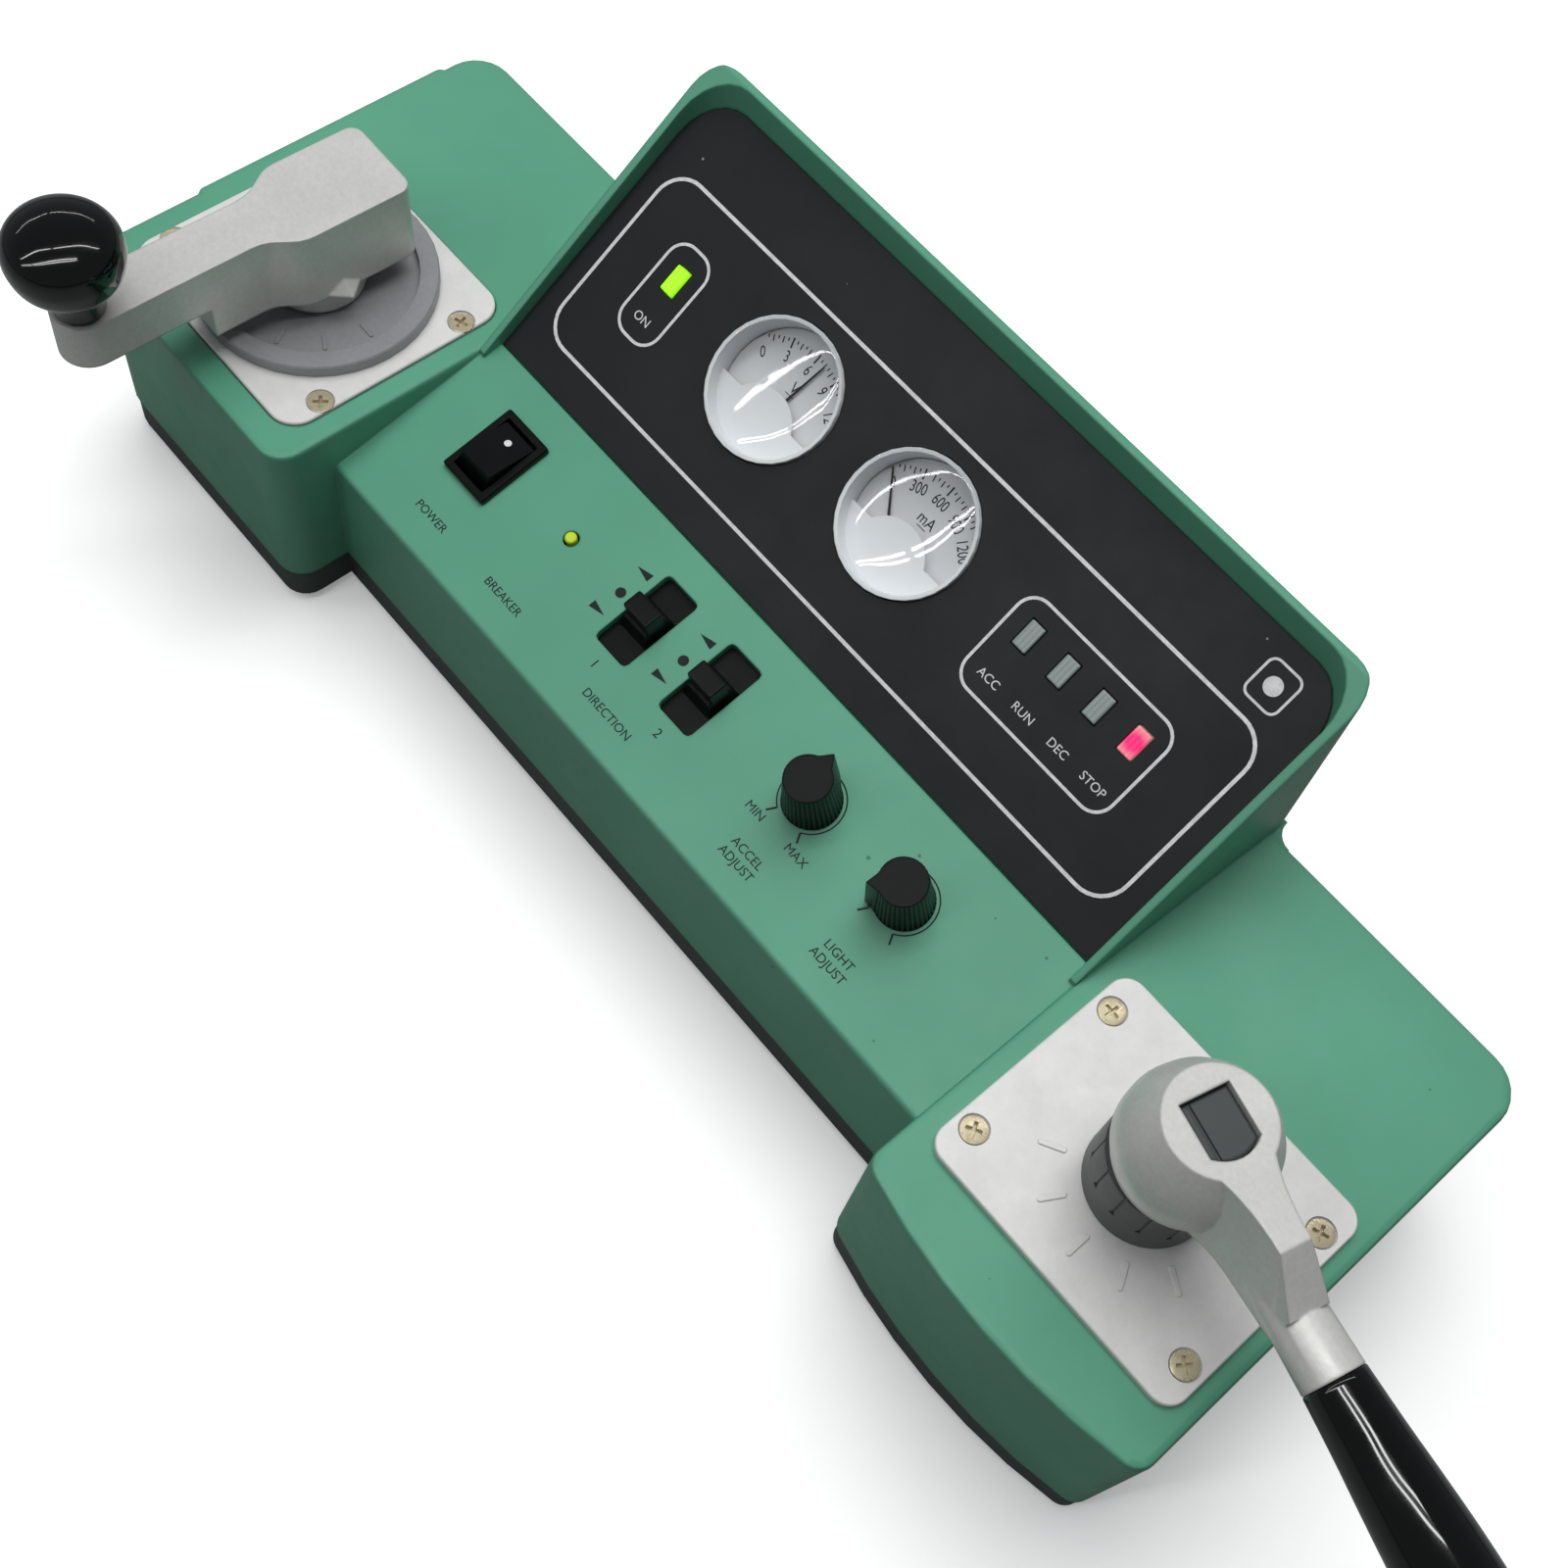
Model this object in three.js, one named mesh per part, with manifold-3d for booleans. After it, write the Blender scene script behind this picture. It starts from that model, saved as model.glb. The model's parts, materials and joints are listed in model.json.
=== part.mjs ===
// Two-handle power controller for a model railway: a console case with a master controller
// handle on the left block, a plug-on brake handle on the right block, a sloping switch panel
// between them and a hooded instrument panel behind it.
// Millimetres. X runs to the operator's right, Y to the back, Z up.
// The origin is on the flat underside of the base tray, midway across the case.

import * as THREE from "three";
import { mergeVertices } from "three/addons/utils/BufferGeometryUtils.js";
import Module from "manifold-3d";

const wasm = await Module();
wasm.setup();

// ---------------------------------------------------------------- driving sizes

const WALL = 2.5; // thickness of the moulded case walls
const GAP = 0.3; // free space between neighbouring parts
const SEAM = 0.1; // free space between stacked faces

const HALF_WIDTH = 186.4; // middle of the case to the outer face of an end block
const BLOCK_INNER = 105.5; // middle of the case to the inner face of an end block
const BLOCK_TOP = 62; // height of the two end blocks
const BLOCK_REAR = 59; // rear wall of the end blocks
const LEFT_FRONT = -63.2; // straight front of the left block
const RIGHT_FRONT = -65.3; // ends of the bowed front of the right block
const RIGHT_BOW = 4.9; // how far the right front bows out
const SPLIT = 12; // joint between the case and the base tray
const BLOCK_EDGE = 1.6; // rounding of the block tops

const EDGE_Y = 2; // line where the sloping panel meets the instrument panel
const MIDDLE_FRONT = -47.2; // front wall below the sloping panel
const SLOPE = THREE.MathUtils.degToRad(13.9); // sloping panel, falling to the front
const TILT = THREE.MathUtils.degToRad(37.5); // instrument panel, rising to the back

const HOOD_REAR = 70; // rear wall of the hood at the height of the block tops
const HOOD_TOP = 118; // top of the hood rim
const HOOD_TAPER = 2.2; // how far the hood draws in between the block tops and its rim
const RIM_START_Y = -3.4; // front end of the rim on the block tops
const RIM_REAR_Y = 66.2; // inner edge of the rim at the back
const HOOD_HALF_REAR = 108.5; // half width of the hood at its rear foot
const RECESS_HALF = 104; // half width of the recess that holds the instrument panel
const RECESS_REAR = 65.8; // rear wall of that recess
const PANEL_THICK = 2; // instrument panel with its seam
const TRAY_INSET = 0.5; // the base tray stands in from the case by this much
const TRAY_FLOOR = 2.5; // floor of the base tray

const MASTER_X = -145.5; // upright axes of the two handles
const BRAKE_X = 146.2;
const AXIS_Y = -23;
const LEFT_PLATE = { width: 68, depth: 64.4, corner: 7, top: 62.9 };
const RIGHT_PLATE = { width: 71, depth: 60.7, corner: 5, top: 64 };
const PLATE_THICK = 2;
const PLATE_SCREW_X = 30.8;
const PLATE_SCREW_Y = 20.7;
const NOTCH_STEP = 30; // degrees between neighbouring notch marks
const NOTCHES = 6;

const DIAL = { ring: 30, inner: 25.2, top: 66.2, floor: 64 };
const HUB = { radius: 12.2, under: 65 }; // round foot of the master handle
const HANDLE_TOP = 92.5; // flat top of the master handle
const HANDLE_UNDER = 71.2; // underside of its deep end
const HANDLE_DRAFT = 0.7; // its walls lean in by this much on the way up
const ARM_UNDER = 80; // underside of its arm
const ARM_HALF = 7.6; // half widths at the foot of the walls
const HEAD_HALF = 12.6;
const HEAD_REAR = -22.6;
const ARM_REACH = 59; // axis to the ball knob
const SHAFT_R = 3; // turning shafts of both handles
const SHAFT_FOOT = 38; // their lower ends, inside the rotary switches
const MASTER_HEADING = -91; // degrees from +X, the way the arm points

const BRAKE_HEAD_OFFSET = 1.4; // centre of the brake handle's head ahead of its axis
const COLLAR_R = 14;
const COLLAR_TOP = 83.6;
const COLLAR_LINES = 6; // engraved lines, one for each notch mark
const COLLAR_FIRST = -12; // angle of the first line from +X
const COLLAR_STEP = 26;
const BRAKE_TOP = 110; // flat top of the brake handle
const BRAKE_AXIS_Z = 94; // height of the grip's centre line
const BRAKE_HEADING = -14; // degrees from +X, the way the grip points
const FERRULE_R = 6.7;
const GRIP_START = 50;
const GRIP_END = 114;
const TONGUE = { back: -4.6, front: 9, half: 5.75 };

const VOLT_X = -41.2; // the two meters on the instrument panel
const AMP_X = 5.2;
const METER_UP = 39.4; // distance of their centres up the instrument panel
const METER_R = 17.4;
const METER_DEPTH = 22;
const DIAL_DEPTH = 7; // face of the meter dial below the panel
const COVER_DEPTH = 4; // face of the cover over the movement
const COVER_EDGE = -5.2; // straight upper edge of that cover below the meter centre
const NEEDLE_PIVOT = -10.4; // needle axle below the meter centre
const NEEDLE_REACH = 22;
const VOLT_REST = -8; // resting angles of the needles, from straight up the panel
const AMP_REST = 40;

const LAMP = { width: 4, height: 7, up: 41 };
const POWER_LAMP_X = -78.9;
const STATUS_LAMP_X = 43.8;
const STATUS_PITCH = 11.1;

const SWITCH_DOWN = 20.2; // all switches sit this far down the sloping panel
const ROCKER_X = -80.2;
const ROCKER_TILT = THREE.MathUtils.degToRad(15);
const BREAKER_X = -51.4;
const SLIDER_X = [-23, 0.1];
const SLOT = { width: 11.1, length: 23, corner: 1.3 };
const SLIDER_TRAVEL = 5.5; // each way from the middle
const SLIDER_STEM = { half: 1.6, reach: 3 }; // peg that works the switch
const SHUTTER = { top: -2.8, thick: 1 }; // plate of the slider that closes the slot from below
const KNOB_X = [35.9, 67];
const KNOB_TURN = [0, 136]; // resting pointer angles, degrees from straight up the slope
const KNOB_TOP = 16;

const PANEL_CUT = 6; // depth of the cutters for openings in the panels
const BOARD = { left: -96, right: 96, front: -22, back: 56, z: 20, thick: 1.6 };
const JACK_X = 72;
const SOCKET_X = -30;
const FOOT = { radius: 8, under: -1.5, top: 0.95 };

// ---------------------------------------------------------------- colours

const GREEN = 0x5a9f84;
const DARK_GREY = 0x40484a;
const BLACK = 0x1b1d1f;
const PANEL_BLACK = 0x282b2c;
const ALUMINIUM = 0xc4c5c4;
const CAST_SILVER = 0xb9bab7;
const STEEL = 0xcfc4a4;
const RUBBER = 0x141414;

// ---------------------------------------------------------------- helpers

const deg = THREE.MathUtils.degToRad;
const slopeFrame = panelMatrix(SLOPE);
const tiltFrame = panelMatrix(TILT);

// Frame of a panel hinged on the meeting line: x across, y up the panel, z out of its face.
function panelMatrix(angle) {
  const matrix = new THREE.Matrix4().makeRotationX(angle);
  return matrix.setPosition(0, EDGE_Y, BLOCK_TOP);
}

// Turns a closed three.js geometry into a solid, flipping it if it is inside out.
function solid(geometry) {
  const plain = geometry.index ? geometry.toNonIndexed() : geometry.clone();
  plain.deleteAttribute("normal");
  plain.deleteAttribute("uv");
  const merged = mergeVertices(plain, 1e-4);
  const index = Array.from(merged.index.array);
  const at = merged.attributes.position;
  const triangles = [];
  let volume = 0;
  const a = new THREE.Vector3();
  const b = new THREE.Vector3();
  const c = new THREE.Vector3();
  for (let i = 0; i < index.length; i += 3) {
    const [p, q, r] = index.slice(i, i + 3);
    if (p === q || q === r || r === p) continue;
    a.fromBufferAttribute(at, p);
    b.fromBufferAttribute(at, q);
    c.fromBufferAttribute(at, r);
    volume += a.dot(b.clone().cross(c));
    triangles.push(p, q, r);
  }
  const triVerts = new Uint32Array(volume < 0 ? triangles.reverse() : triangles);
  const vertProperties = new Float32Array(at.array);
  return new wasm.Manifold(new wasm.Mesh({ numProp: 3, vertProperties, triVerts }));
}

function union(first, ...rest) {
  return rest.reduce((sum, next) => sum.add(next), first);
}

function cut(body, ...tools) {
  return tools.reduce((left, tool) => left.subtract(tool), body);
}

// A named mesh with its own material.
function piece(name, body, colour, roughness = 0.6, metalness = 0) {
  const { vertProperties, triVerts } = body.getMesh();
  const geometry = new THREE.BufferGeometry();
  geometry.setAttribute("position", new THREE.BufferAttribute(vertProperties, 3));
  geometry.setIndex(new THREE.BufferAttribute(triVerts, 1));
  const material = new THREE.MeshStandardMaterial({ color: colour, roughness, metalness });
  const mesh = new THREE.Mesh(geometry, material);
  mesh.name = name;
  return mesh;
}

function box(x0, x1, y0, y1, z0, z1, matrix) {
  const geometry = new THREE.BoxGeometry(x1 - x0, y1 - y0, z1 - z0);
  geometry.translate((x0 + x1) / 2, (y0 + y1) / 2, (z0 + z1) / 2);
  if (matrix) geometry.applyMatrix4(matrix);
  return solid(geometry);
}

// Upright cylinder or cone between two heights.
function rod(x, y, radius, z0, z1, sides = 28, topRadius = radius, matrix = null) {
  const geometry = new THREE.CylinderGeometry(topRadius, radius, z1 - z0, sides);
  geometry.rotateX(Math.PI / 2);
  geometry.translate(x, y, (z0 + z1) / 2);
  if (matrix) geometry.applyMatrix4(matrix);
  return solid(geometry);
}

// Solid of revolution about the Z axis from [radius, height] pairs.
function turned(profile, sides = 32) {
  const points = profile.map(([r, z]) => new THREE.Vector2(r, z));
  const geometry = new THREE.LatheGeometry(points, sides);
  geometry.rotateX(Math.PI / 2);
  return solid(geometry);
}

// Closed outline through [x, y, corner radius] points, anticlockwise.
function outline(corners) {
  const shape = new THREE.Shape();
  const count = corners.length;
  corners.forEach(([x, y, radius = 0], i) => {
    const here = new THREE.Vector2(x, y);
    const [px, py] = corners[(i + count - 1) % count];
    const [nx, ny] = corners[(i + 1) % count];
    const back = new THREE.Vector2(px, py).sub(here).normalize();
    const ahead = new THREE.Vector2(nx, ny).sub(here).normalize();
    const half = Math.acos(THREE.MathUtils.clamp(back.dot(ahead), -1, 1)) / 2;
    const reach = radius / Math.tan(half);
    const start = here.clone().addScaledVector(back, reach);
    const end = here.clone().addScaledVector(ahead, reach);
    if (i === 0) shape.moveTo(start.x, start.y);
    else shape.lineTo(start.x, start.y);
    if (radius === 0) return;
    const middle = back.clone().add(ahead).normalize();
    const centre = here.clone().addScaledVector(middle, radius / Math.sin(half));
    const from = Math.atan2(start.y - centre.y, start.x - centre.x);
    const to = Math.atan2(end.y - centre.y, end.x - centre.x);
    const clockwise = back.cross(ahead) > 0;
    shape.absarc(centre.x, centre.y, radius, from, to, clockwise);
  });
  shape.closePath();
  return shape;
}

function rectangle(x0, x1, y0, y1, radius = 0) {
  return outline([[x0, y0, radius], [x1, y0, radius], [x1, y1, radius], [x0, y1, radius]]);
}

// Prism with straight sides between two heights.
function prism(shape, z0, z1, matrix = null, curveSegments = 3) {
  const settings = { depth: z1 - z0, bevelEnabled: false, curveSegments };
  const geometry = new THREE.ExtrudeGeometry(shape, settings);
  geometry.translate(0, 0, z0);
  if (matrix) geometry.applyMatrix4(matrix);
  return solid(geometry);
}

// Prism whose top edge is rounded (or whose bottom edge is, with upward = -1).
function softPrism(shape, z0, z1, edge, upward = 1, steps = 2, curveSegments = 3) {
  const settings = {
    depth: z1 - z0 - edge,
    bevelEnabled: true,
    bevelThickness: edge,
    bevelSize: edge,
    bevelOffset: -edge,
    bevelSegments: steps,
    curveSegments,
  };
  const geometry = new THREE.ExtrudeGeometry(shape, settings);
  geometry.translate(0, 0, upward > 0 ? z0 : z0 + edge);
  return solid(geometry).intersect(box(-400, 400, -400, 400, z0, z1));
}

// Prism that draws in evenly above a given height.
function taperedPrism(shape, z0, shoulder, z1, inset, curveSegments = 3) {
  const settings = {
    depth: shoulder - z0,
    bevelEnabled: true,
    bevelThickness: z1 - shoulder,
    bevelSize: inset,
    bevelOffset: -inset,
    bevelSegments: 1,
    curveSegments,
  };
  const geometry = new THREE.ExtrudeGeometry(shape, settings);
  geometry.translate(0, 0, z0);
  return solid(geometry).intersect(box(-400, 400, -400, 400, z0, z1));
}

// Plate standing across the case: a [y, z] outline carried from one x to the other.
function sideSlab(corners, x0, x1) {
  const settings = { depth: x1 - x0, bevelEnabled: false, curveSegments: 2 };
  const geometry = new THREE.ExtrudeGeometry(outline(corners), settings);
  geometry.translate(0, 0, x0);
  const toSide = new THREE.Matrix4().makeBasis(
    new THREE.Vector3(0, 1, 0),
    new THREE.Vector3(0, 0, 1),
    new THREE.Vector3(1, 0, 0),
  );
  geometry.applyMatrix4(toSide);
  return solid(geometry);
}

function grouped(matrix, meshes) {
  const group = new THREE.Group();
  group.position.setFromMatrixPosition(matrix);
  group.quaternion.setFromRotationMatrix(matrix);
  group.add(...meshes);
  return group;
}

function standingAt(x, y, degrees, meshes) {
  const matrix = new THREE.Matrix4().makeRotationZ(deg(degrees)).setPosition(x, y, 0);
  return grouped(matrix, meshes);
}

function slopeHeight(y, below = 0) {
  return BLOCK_TOP - below / Math.cos(SLOPE) + (y - EDGE_Y) * Math.tan(SLOPE);
}

function tiltHeight(y, below = 0) {
  return BLOCK_TOP - below / Math.cos(TILT) + (y - EDGE_Y) * Math.tan(TILT);
}

// ---------------------------------------------------------------- case outlines

function leftOutline(inset) {
  const corner = 10 - inset;
  return outline([
    [-HALF_WIDTH + inset, LEFT_FRONT + inset, corner],
    [-BLOCK_INNER - inset, LEFT_FRONT + inset, 7 - inset],
    [-BLOCK_INNER - inset, BLOCK_REAR - inset, 0],
    [-HALF_WIDTH + inset, BLOCK_REAR - inset, corner],
  ]);
}

function rightOutline(inset) {
  const x0 = BLOCK_INNER + inset;
  const x1 = HALF_WIDTH - inset;
  const middle = (x0 + x1) / 2;
  const half = (x1 - x0) / 2;
  const bow = [-0.6, -0.3, 0, 0.3, 0.6].map((along) => {
    return [middle + along * half, RIGHT_FRONT + inset - RIGHT_BOW * (1 - along * along), 0];
  });
  return outline([
    [x0, RIGHT_FRONT + inset, 5 - inset],
    ...bow,
    [x1, RIGHT_FRONT + inset, 5 - inset],
    [x1, BLOCK_REAR - inset, 10 - inset],
    [x0, BLOCK_REAR - inset, 0],
  ]);
}

function hoodOutline(inset) {
  const rear = HOOD_REAR - inset;
  const wide = HOOD_HALF_REAR - inset;
  const narrow = BLOCK_INNER - inset;
  return outline([
    [-narrow, -12, 0],
    [narrow, -12, 0],
    [wide, rear, 10 - inset],
    [-wide, rear, 10 - inset],
  ]);
}

function recessOutline(inset) {
  const half = RECESS_HALF - inset;
  const rear = RECESS_REAR - inset;
  return outline([[-half, -34, 0], [half, -34, 0], [half, rear, 11], [-half, rear, 11]]);
}

// Small inside fillet where a block's rear wall meets the side of the hood.
function rearFillet(side, z0, z1) {
  const radius = 5;
  const x = HOOD_HALF_REAR - 1;
  const shape = new THREE.Shape();
  shape.moveTo(x, BLOCK_REAR - 2);
  shape.lineTo(x + 1 + radius, BLOCK_REAR - 2);
  shape.lineTo(x + 1 + radius, BLOCK_REAR);
  shape.absarc(x + 1 + radius, BLOCK_REAR + radius, radius, -Math.PI / 2, -Math.PI, true);
  shape.lineTo(x, BLOCK_REAR + radius);
  shape.closePath();
  const body = softPrism(shape, z0, z1, 0.4, z0 < SPLIT ? -1 : 1, 1);
  return side > 0 ? body : body.mirror([1, 0, 0]);
}

// ---------------------------------------------------------------- case shell

const baseScrewSpots = [[-172, 44], [172, 44], [-172, -49], [172, -49]];

function caseOutside() {
  const left = softPrism(leftOutline(0), SPLIT, BLOCK_TOP, BLOCK_EDGE, 1, 2);
  const right = softPrism(rightOutline(0), SPLIT, BLOCK_TOP, BLOCK_EDGE, 1, 2);
  const pad = softPrism(
    rectangle(-HALF_WIDTH - 1.2, -HALF_WIDTH + 12, -31, 46, 2.5),
    SPLIT + 6,
    BLOCK_TOP,
    BLOCK_EDGE,
    1,
    2,
  );
  const middle = sideSlab(
    [
      [MIDDLE_FRONT, SPLIT, 0],
      [BLOCK_REAR, SPLIT, 0],
      [BLOCK_REAR, BLOCK_TOP - 4, 0],
      [EDGE_Y, BLOCK_TOP, 0],
      [MIDDLE_FRONT, slopeHeight(MIDDLE_FRONT), 1.6],
    ],
    -BLOCK_INNER - 1,
    BLOCK_INNER + 1,
  );
  const hoodSide = sideSlab(
    [
      [RIM_START_Y, SPLIT + 20, 0],
      [BLOCK_REAR - 20, SPLIT, 0],
      [HOOD_REAR + 1, SPLIT, 0],
      [HOOD_REAR + 1, HOOD_TOP, 0],
      [RIM_REAR_Y, HOOD_TOP, 0],
      [RIM_START_Y, BLOCK_TOP, 0],
    ],
    -130,
    130,
  );
  const hoodBlock = taperedPrism(hoodOutline(0), SPLIT, BLOCK_TOP, HOOD_TOP, HOOD_TAPER);
  const hood = hoodBlock.intersect(hoodSide);
  const filletTop = BLOCK_TOP - BLOCK_EDGE / 4;
  const fillets = [rearFillet(1, SPLIT, filletTop), rearFillet(-1, SPLIT, filletTop)];
  return union(left, right, pad, middle, hood, ...fillets);
}

function instrumentRecess() {
  const side = sideSlab(
    [
      [-24, slopeHeight(-24), 0],
      [EDGE_Y, BLOCK_TOP, 0],
      [EDGE_Y, tiltHeight(EDGE_Y, PANEL_THICK), 0],
      [80, tiltHeight(80, PANEL_THICK), 0],
      [80, 150, 0],
      [-24, 150, 0],
    ],
    -130,
    130,
  );
  return prism(recessOutline(0), 20, 160).intersect(side);
}

function caseInside() {
  const ceiling = BLOCK_TOP - WALL;
  const left = prism(leftOutline(WALL), SPLIT - 1, ceiling);
  const right = prism(rightOutline(WALL), SPLIT - 1, ceiling);
  const below = PANEL_THICK + WALL;
  const rear = HOOD_REAR - WALL;
  const drop = below / Math.cos(TILT) - WALL / Math.cos(SLOPE);
  const meet = EDGE_Y + drop / (Math.tan(TILT) - Math.tan(SLOPE));
  const middleSide = sideSlab(
    [
      [MIDDLE_FRONT + WALL, SPLIT - 1, 0],
      [rear, SPLIT - 1, 0],
      [rear, BLOCK_TOP, 0],
      [rear - HOOD_TAPER, tiltHeight(rear - HOOD_TAPER, below), 0],
      [meet, tiltHeight(meet, below), 0],
      [MIDDLE_FRONT + WALL, slopeHeight(MIDDLE_FRONT + WALL, WALL), 0],
    ],
    -BLOCK_INNER + WALL,
    BLOCK_INNER - WALL,
  );
  const hoodLimit = taperedPrism(hoodOutline(WALL), SPLIT - 2, BLOCK_TOP, HOOD_TOP, HOOD_TAPER);
  const front = box(-110, 110, -60, 0, 0, BLOCK_TOP);
  const middle = middleSide.intersect(union(hoodLimit, front));
  const passage = box(-116, 116, -38, 50, SPLIT - 1, 42);
  return union(left, right, middle, passage);
}

function plateOpenings() {
  const recess = rectangle(
    MASTER_X - LEFT_PLATE.width / 2 - GAP,
    MASTER_X + LEFT_PLATE.width / 2 + GAP,
    AXIS_Y - LEFT_PLATE.depth / 2 - GAP,
    AXIS_Y + LEFT_PLATE.depth / 2 + GAP,
    LEFT_PLATE.corner + GAP,
  );
  const tools = [prism(recess, LEFT_PLATE.top - PLATE_THICK - SEAM, BLOCK_TOP + 2)];
  tools.push(rod(MASTER_X, AXIS_Y, 4.6, 40, 80, 12));
  tools.push(rod(BRAKE_X, AXIS_Y, 10.6, 40, 80, 18));
  for (const x of [MASTER_X, BRAKE_X]) {
    for (const [dx, dy] of plateScrewSpots()) {
      tools.push(rod(x + dx, AXIS_Y + dy, 1.7, 50, 80, 8));
    }
  }
  return tools;
}

function plateScrewSpots() {
  const spots = [];
  for (const sx of [-1, 1]) {
    for (const sy of [-1, 1]) spots.push([sx * PLATE_SCREW_X, sy * PLATE_SCREW_Y]);
  }
  return spots;
}

function slopeOpenings() {
  const y = -SWITCH_DOWN;
  const tools = [];
  const rocker = rectangle(ROCKER_X - 6.8, ROCKER_X + 6.8, y - 9.9, y + 9.9);
  tools.push(prism(rocker, -PANEL_CUT, PANEL_CUT, slopeFrame));
  tools.push(slopeHole(BREAKER_X, 2.1));
  for (const x of SLIDER_X) {
    const half = SLOT.width / 2;
    const reach = SLOT.length / 2;
    const shape = rectangle(x - half, x + half, y - reach, y + reach, SLOT.corner);
    tools.push(prism(shape, -PANEL_CUT, PANEL_CUT, slopeFrame, 1));
  }
  for (const x of KNOB_X) tools.push(slopeHole(x, 4.6));
  return tools;
}

function slopeHole(x, radius) {
  return rod(x, -SWITCH_DOWN, radius, -PANEL_CUT, PANEL_CUT, 12, radius, slopeFrame);
}

function lampSpots() {
  const spots = [POWER_LAMP_X];
  for (let i = 0; i < 4; i += 1) spots.push(STATUS_LAMP_X + i * STATUS_PITCH);
  return spots;
}

function tiltOpenings(depth) {
  const tools = [];
  for (const x of [VOLT_X, AMP_X]) {
    const bore = METER_R + GAP;
    tools.push(rod(x, METER_UP, bore, -depth, PANEL_CUT, 32, bore, tiltFrame));
  }
  for (const x of lampSpots()) {
    const half = LAMP.width / 2 + GAP;
    const reach = LAMP.height / 2 + GAP;
    const window = rectangle(x - half, x + half, LAMP.up - reach, LAMP.up + reach);
    tools.push(prism(window, -depth, PANEL_CUT, tiltFrame));
  }
  return tools;
}

function rearOpenings() {
  const jack = box(JACK_X - 6.8, JACK_X + 6.8, 60, 80, 21.4, 34.2);
  const sockets = box(SOCKET_X - 25.3, SOCKET_X + 25.3, 60, 80, 21.4, 33.3);
  return [jack, sockets];
}

function upperCase() {
  let body = cut(caseOutside(), instrumentRecess(), caseInside());
  for (const [x, y] of baseScrewSpots) {
    body = body.add(rod(x, y, 4, 6.3, BLOCK_TOP - 1.5, 8));
    body = body.subtract(rod(x, y, 1.5, 5, 30, 8));
  }
  body = cut(body, ...plateOpenings(), ...slopeOpenings(), ...tiltOpenings(12), ...rearOpenings());
  return piece("upper_case", body, GREEN);
}

// ---------------------------------------------------------------- base tray

function trayOutlines(inset) {
  const middle = rectangle(-BLOCK_INNER - 4, BLOCK_INNER + 4, MIDDLE_FRONT + inset, BLOCK_REAR - inset);
  const rear = rectangle(
    -HOOD_HALF_REAR + inset,
    HOOD_HALF_REAR - inset,
    0,
    HOOD_REAR - inset,
    10 - inset,
  );
  return [leftOutline(inset), rightOutline(inset), middle, rear];
}

const footSpots = [[-158, 40], [158, 40], [-158, -46], [158, -46]];

function baseTray() {
  const top = SPLIT - GAP;
  const blocks = trayOutlines(TRAY_INSET).map((shape) => softPrism(shape, 0, top, 1.8, -1, 1));
  const hollows = trayOutlines(TRAY_INSET + WALL).map((shape) => prism(shape, TRAY_FLOOR, top + 1));
  const passage = box(-113, 113, -40, BLOCK_REAR - 4, TRAY_FLOOR, top + 1);
  let body = cut(union(...blocks), union(...hollows), passage);
  for (const [x, y] of baseScrewSpots) {
    body = body.add(rod(x, y, 6, 1, 6, 8));
    body = cut(body, rod(x, y, 3.6, -1, 3.2, 12), rod(x, y, 1.8, 0, 8, 8));
  }
  for (const [x, y] of footSpots) body = body.subtract(rod(x, y, FOOT.radius + GAP, -1, 1, 16));
  for (const [x, y] of boardPosts()) body = body.add(rod(x, y, 3, 1, BOARD.z - SEAM, 6));
  return piece("base_tray", body, DARK_GREY);
}

function boardPosts() {
  const posts = [];
  for (const x of [BOARD.left + 8, BOARD.right - 8]) {
    for (const y of [BOARD.front + 8, BOARD.back - 8]) posts.push([x, y]);
  }
  return posts;
}

function feet() {
  const { under, top } = FOOT;
  return footSpots.map(([x, y], i) => {
    const wide = FOOT.radius;
    const pad = turned([[0, under], [wide - 1, under], [wide, under + 0.9], [wide, top], [0, top]], 16);
    return piece(`rubber_foot_${i + 1}`, pad.translate([x, y, 0]), RUBBER, 0.9);
  });
}

// ---------------------------------------------------------------- screws

function crossRecess(width, depth) {
  const a = box(-width / 2, width / 2, -0.4, 0.4, -depth, 1);
  const b = box(-0.4, 0.4, -width / 2, width / 2, -depth, 1);
  return a.add(b);
}

// Countersunk cross-head screw, its flat top at z = 0.
function countersunkScrew(headR, shankR, length) {
  const neck = -headR * 0.62;
  const profile = [[0, -length], [shankR, -length], [shankR, neck], [headR, -0.15], [headR - 0.2, 0], [0, 0]];
  return turned(profile, 20).subtract(crossRecess(headR * 1.15, 1.2));
}

function plateScrews(label, x, top) {
  return plateScrewSpots().map(([dx, dy], i) => {
    const body = countersunkScrew(3.2, 1.35, 8);
    const mesh = piece(`${label}_plate_screw_${i + 1}`, body, STEEL, 0.35, 0.9);
    mesh.position.set(x + dx, AXIS_Y + dy, top);
    mesh.rotation.z = 0.5 + i;
    return mesh;
  });
}

function baseScrews() {
  return baseScrewSpots.map(([x, y], i) => {
    const head = turned([[0, 0], [3, 0], [3, 1.6], [1.25, 1.9], [1.25, 16], [0, 16]], 8);
    const body = head.subtract(crossRecess(3.4, 1).rotate([180, 0, 0]));
    const mesh = piece(`base_screw_${i + 1}`, body, STEEL, 0.4, 0.9);
    mesh.position.set(x, y, 1.2);
    return mesh;
  });
}

// ---------------------------------------------------------------- handle plates

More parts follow.
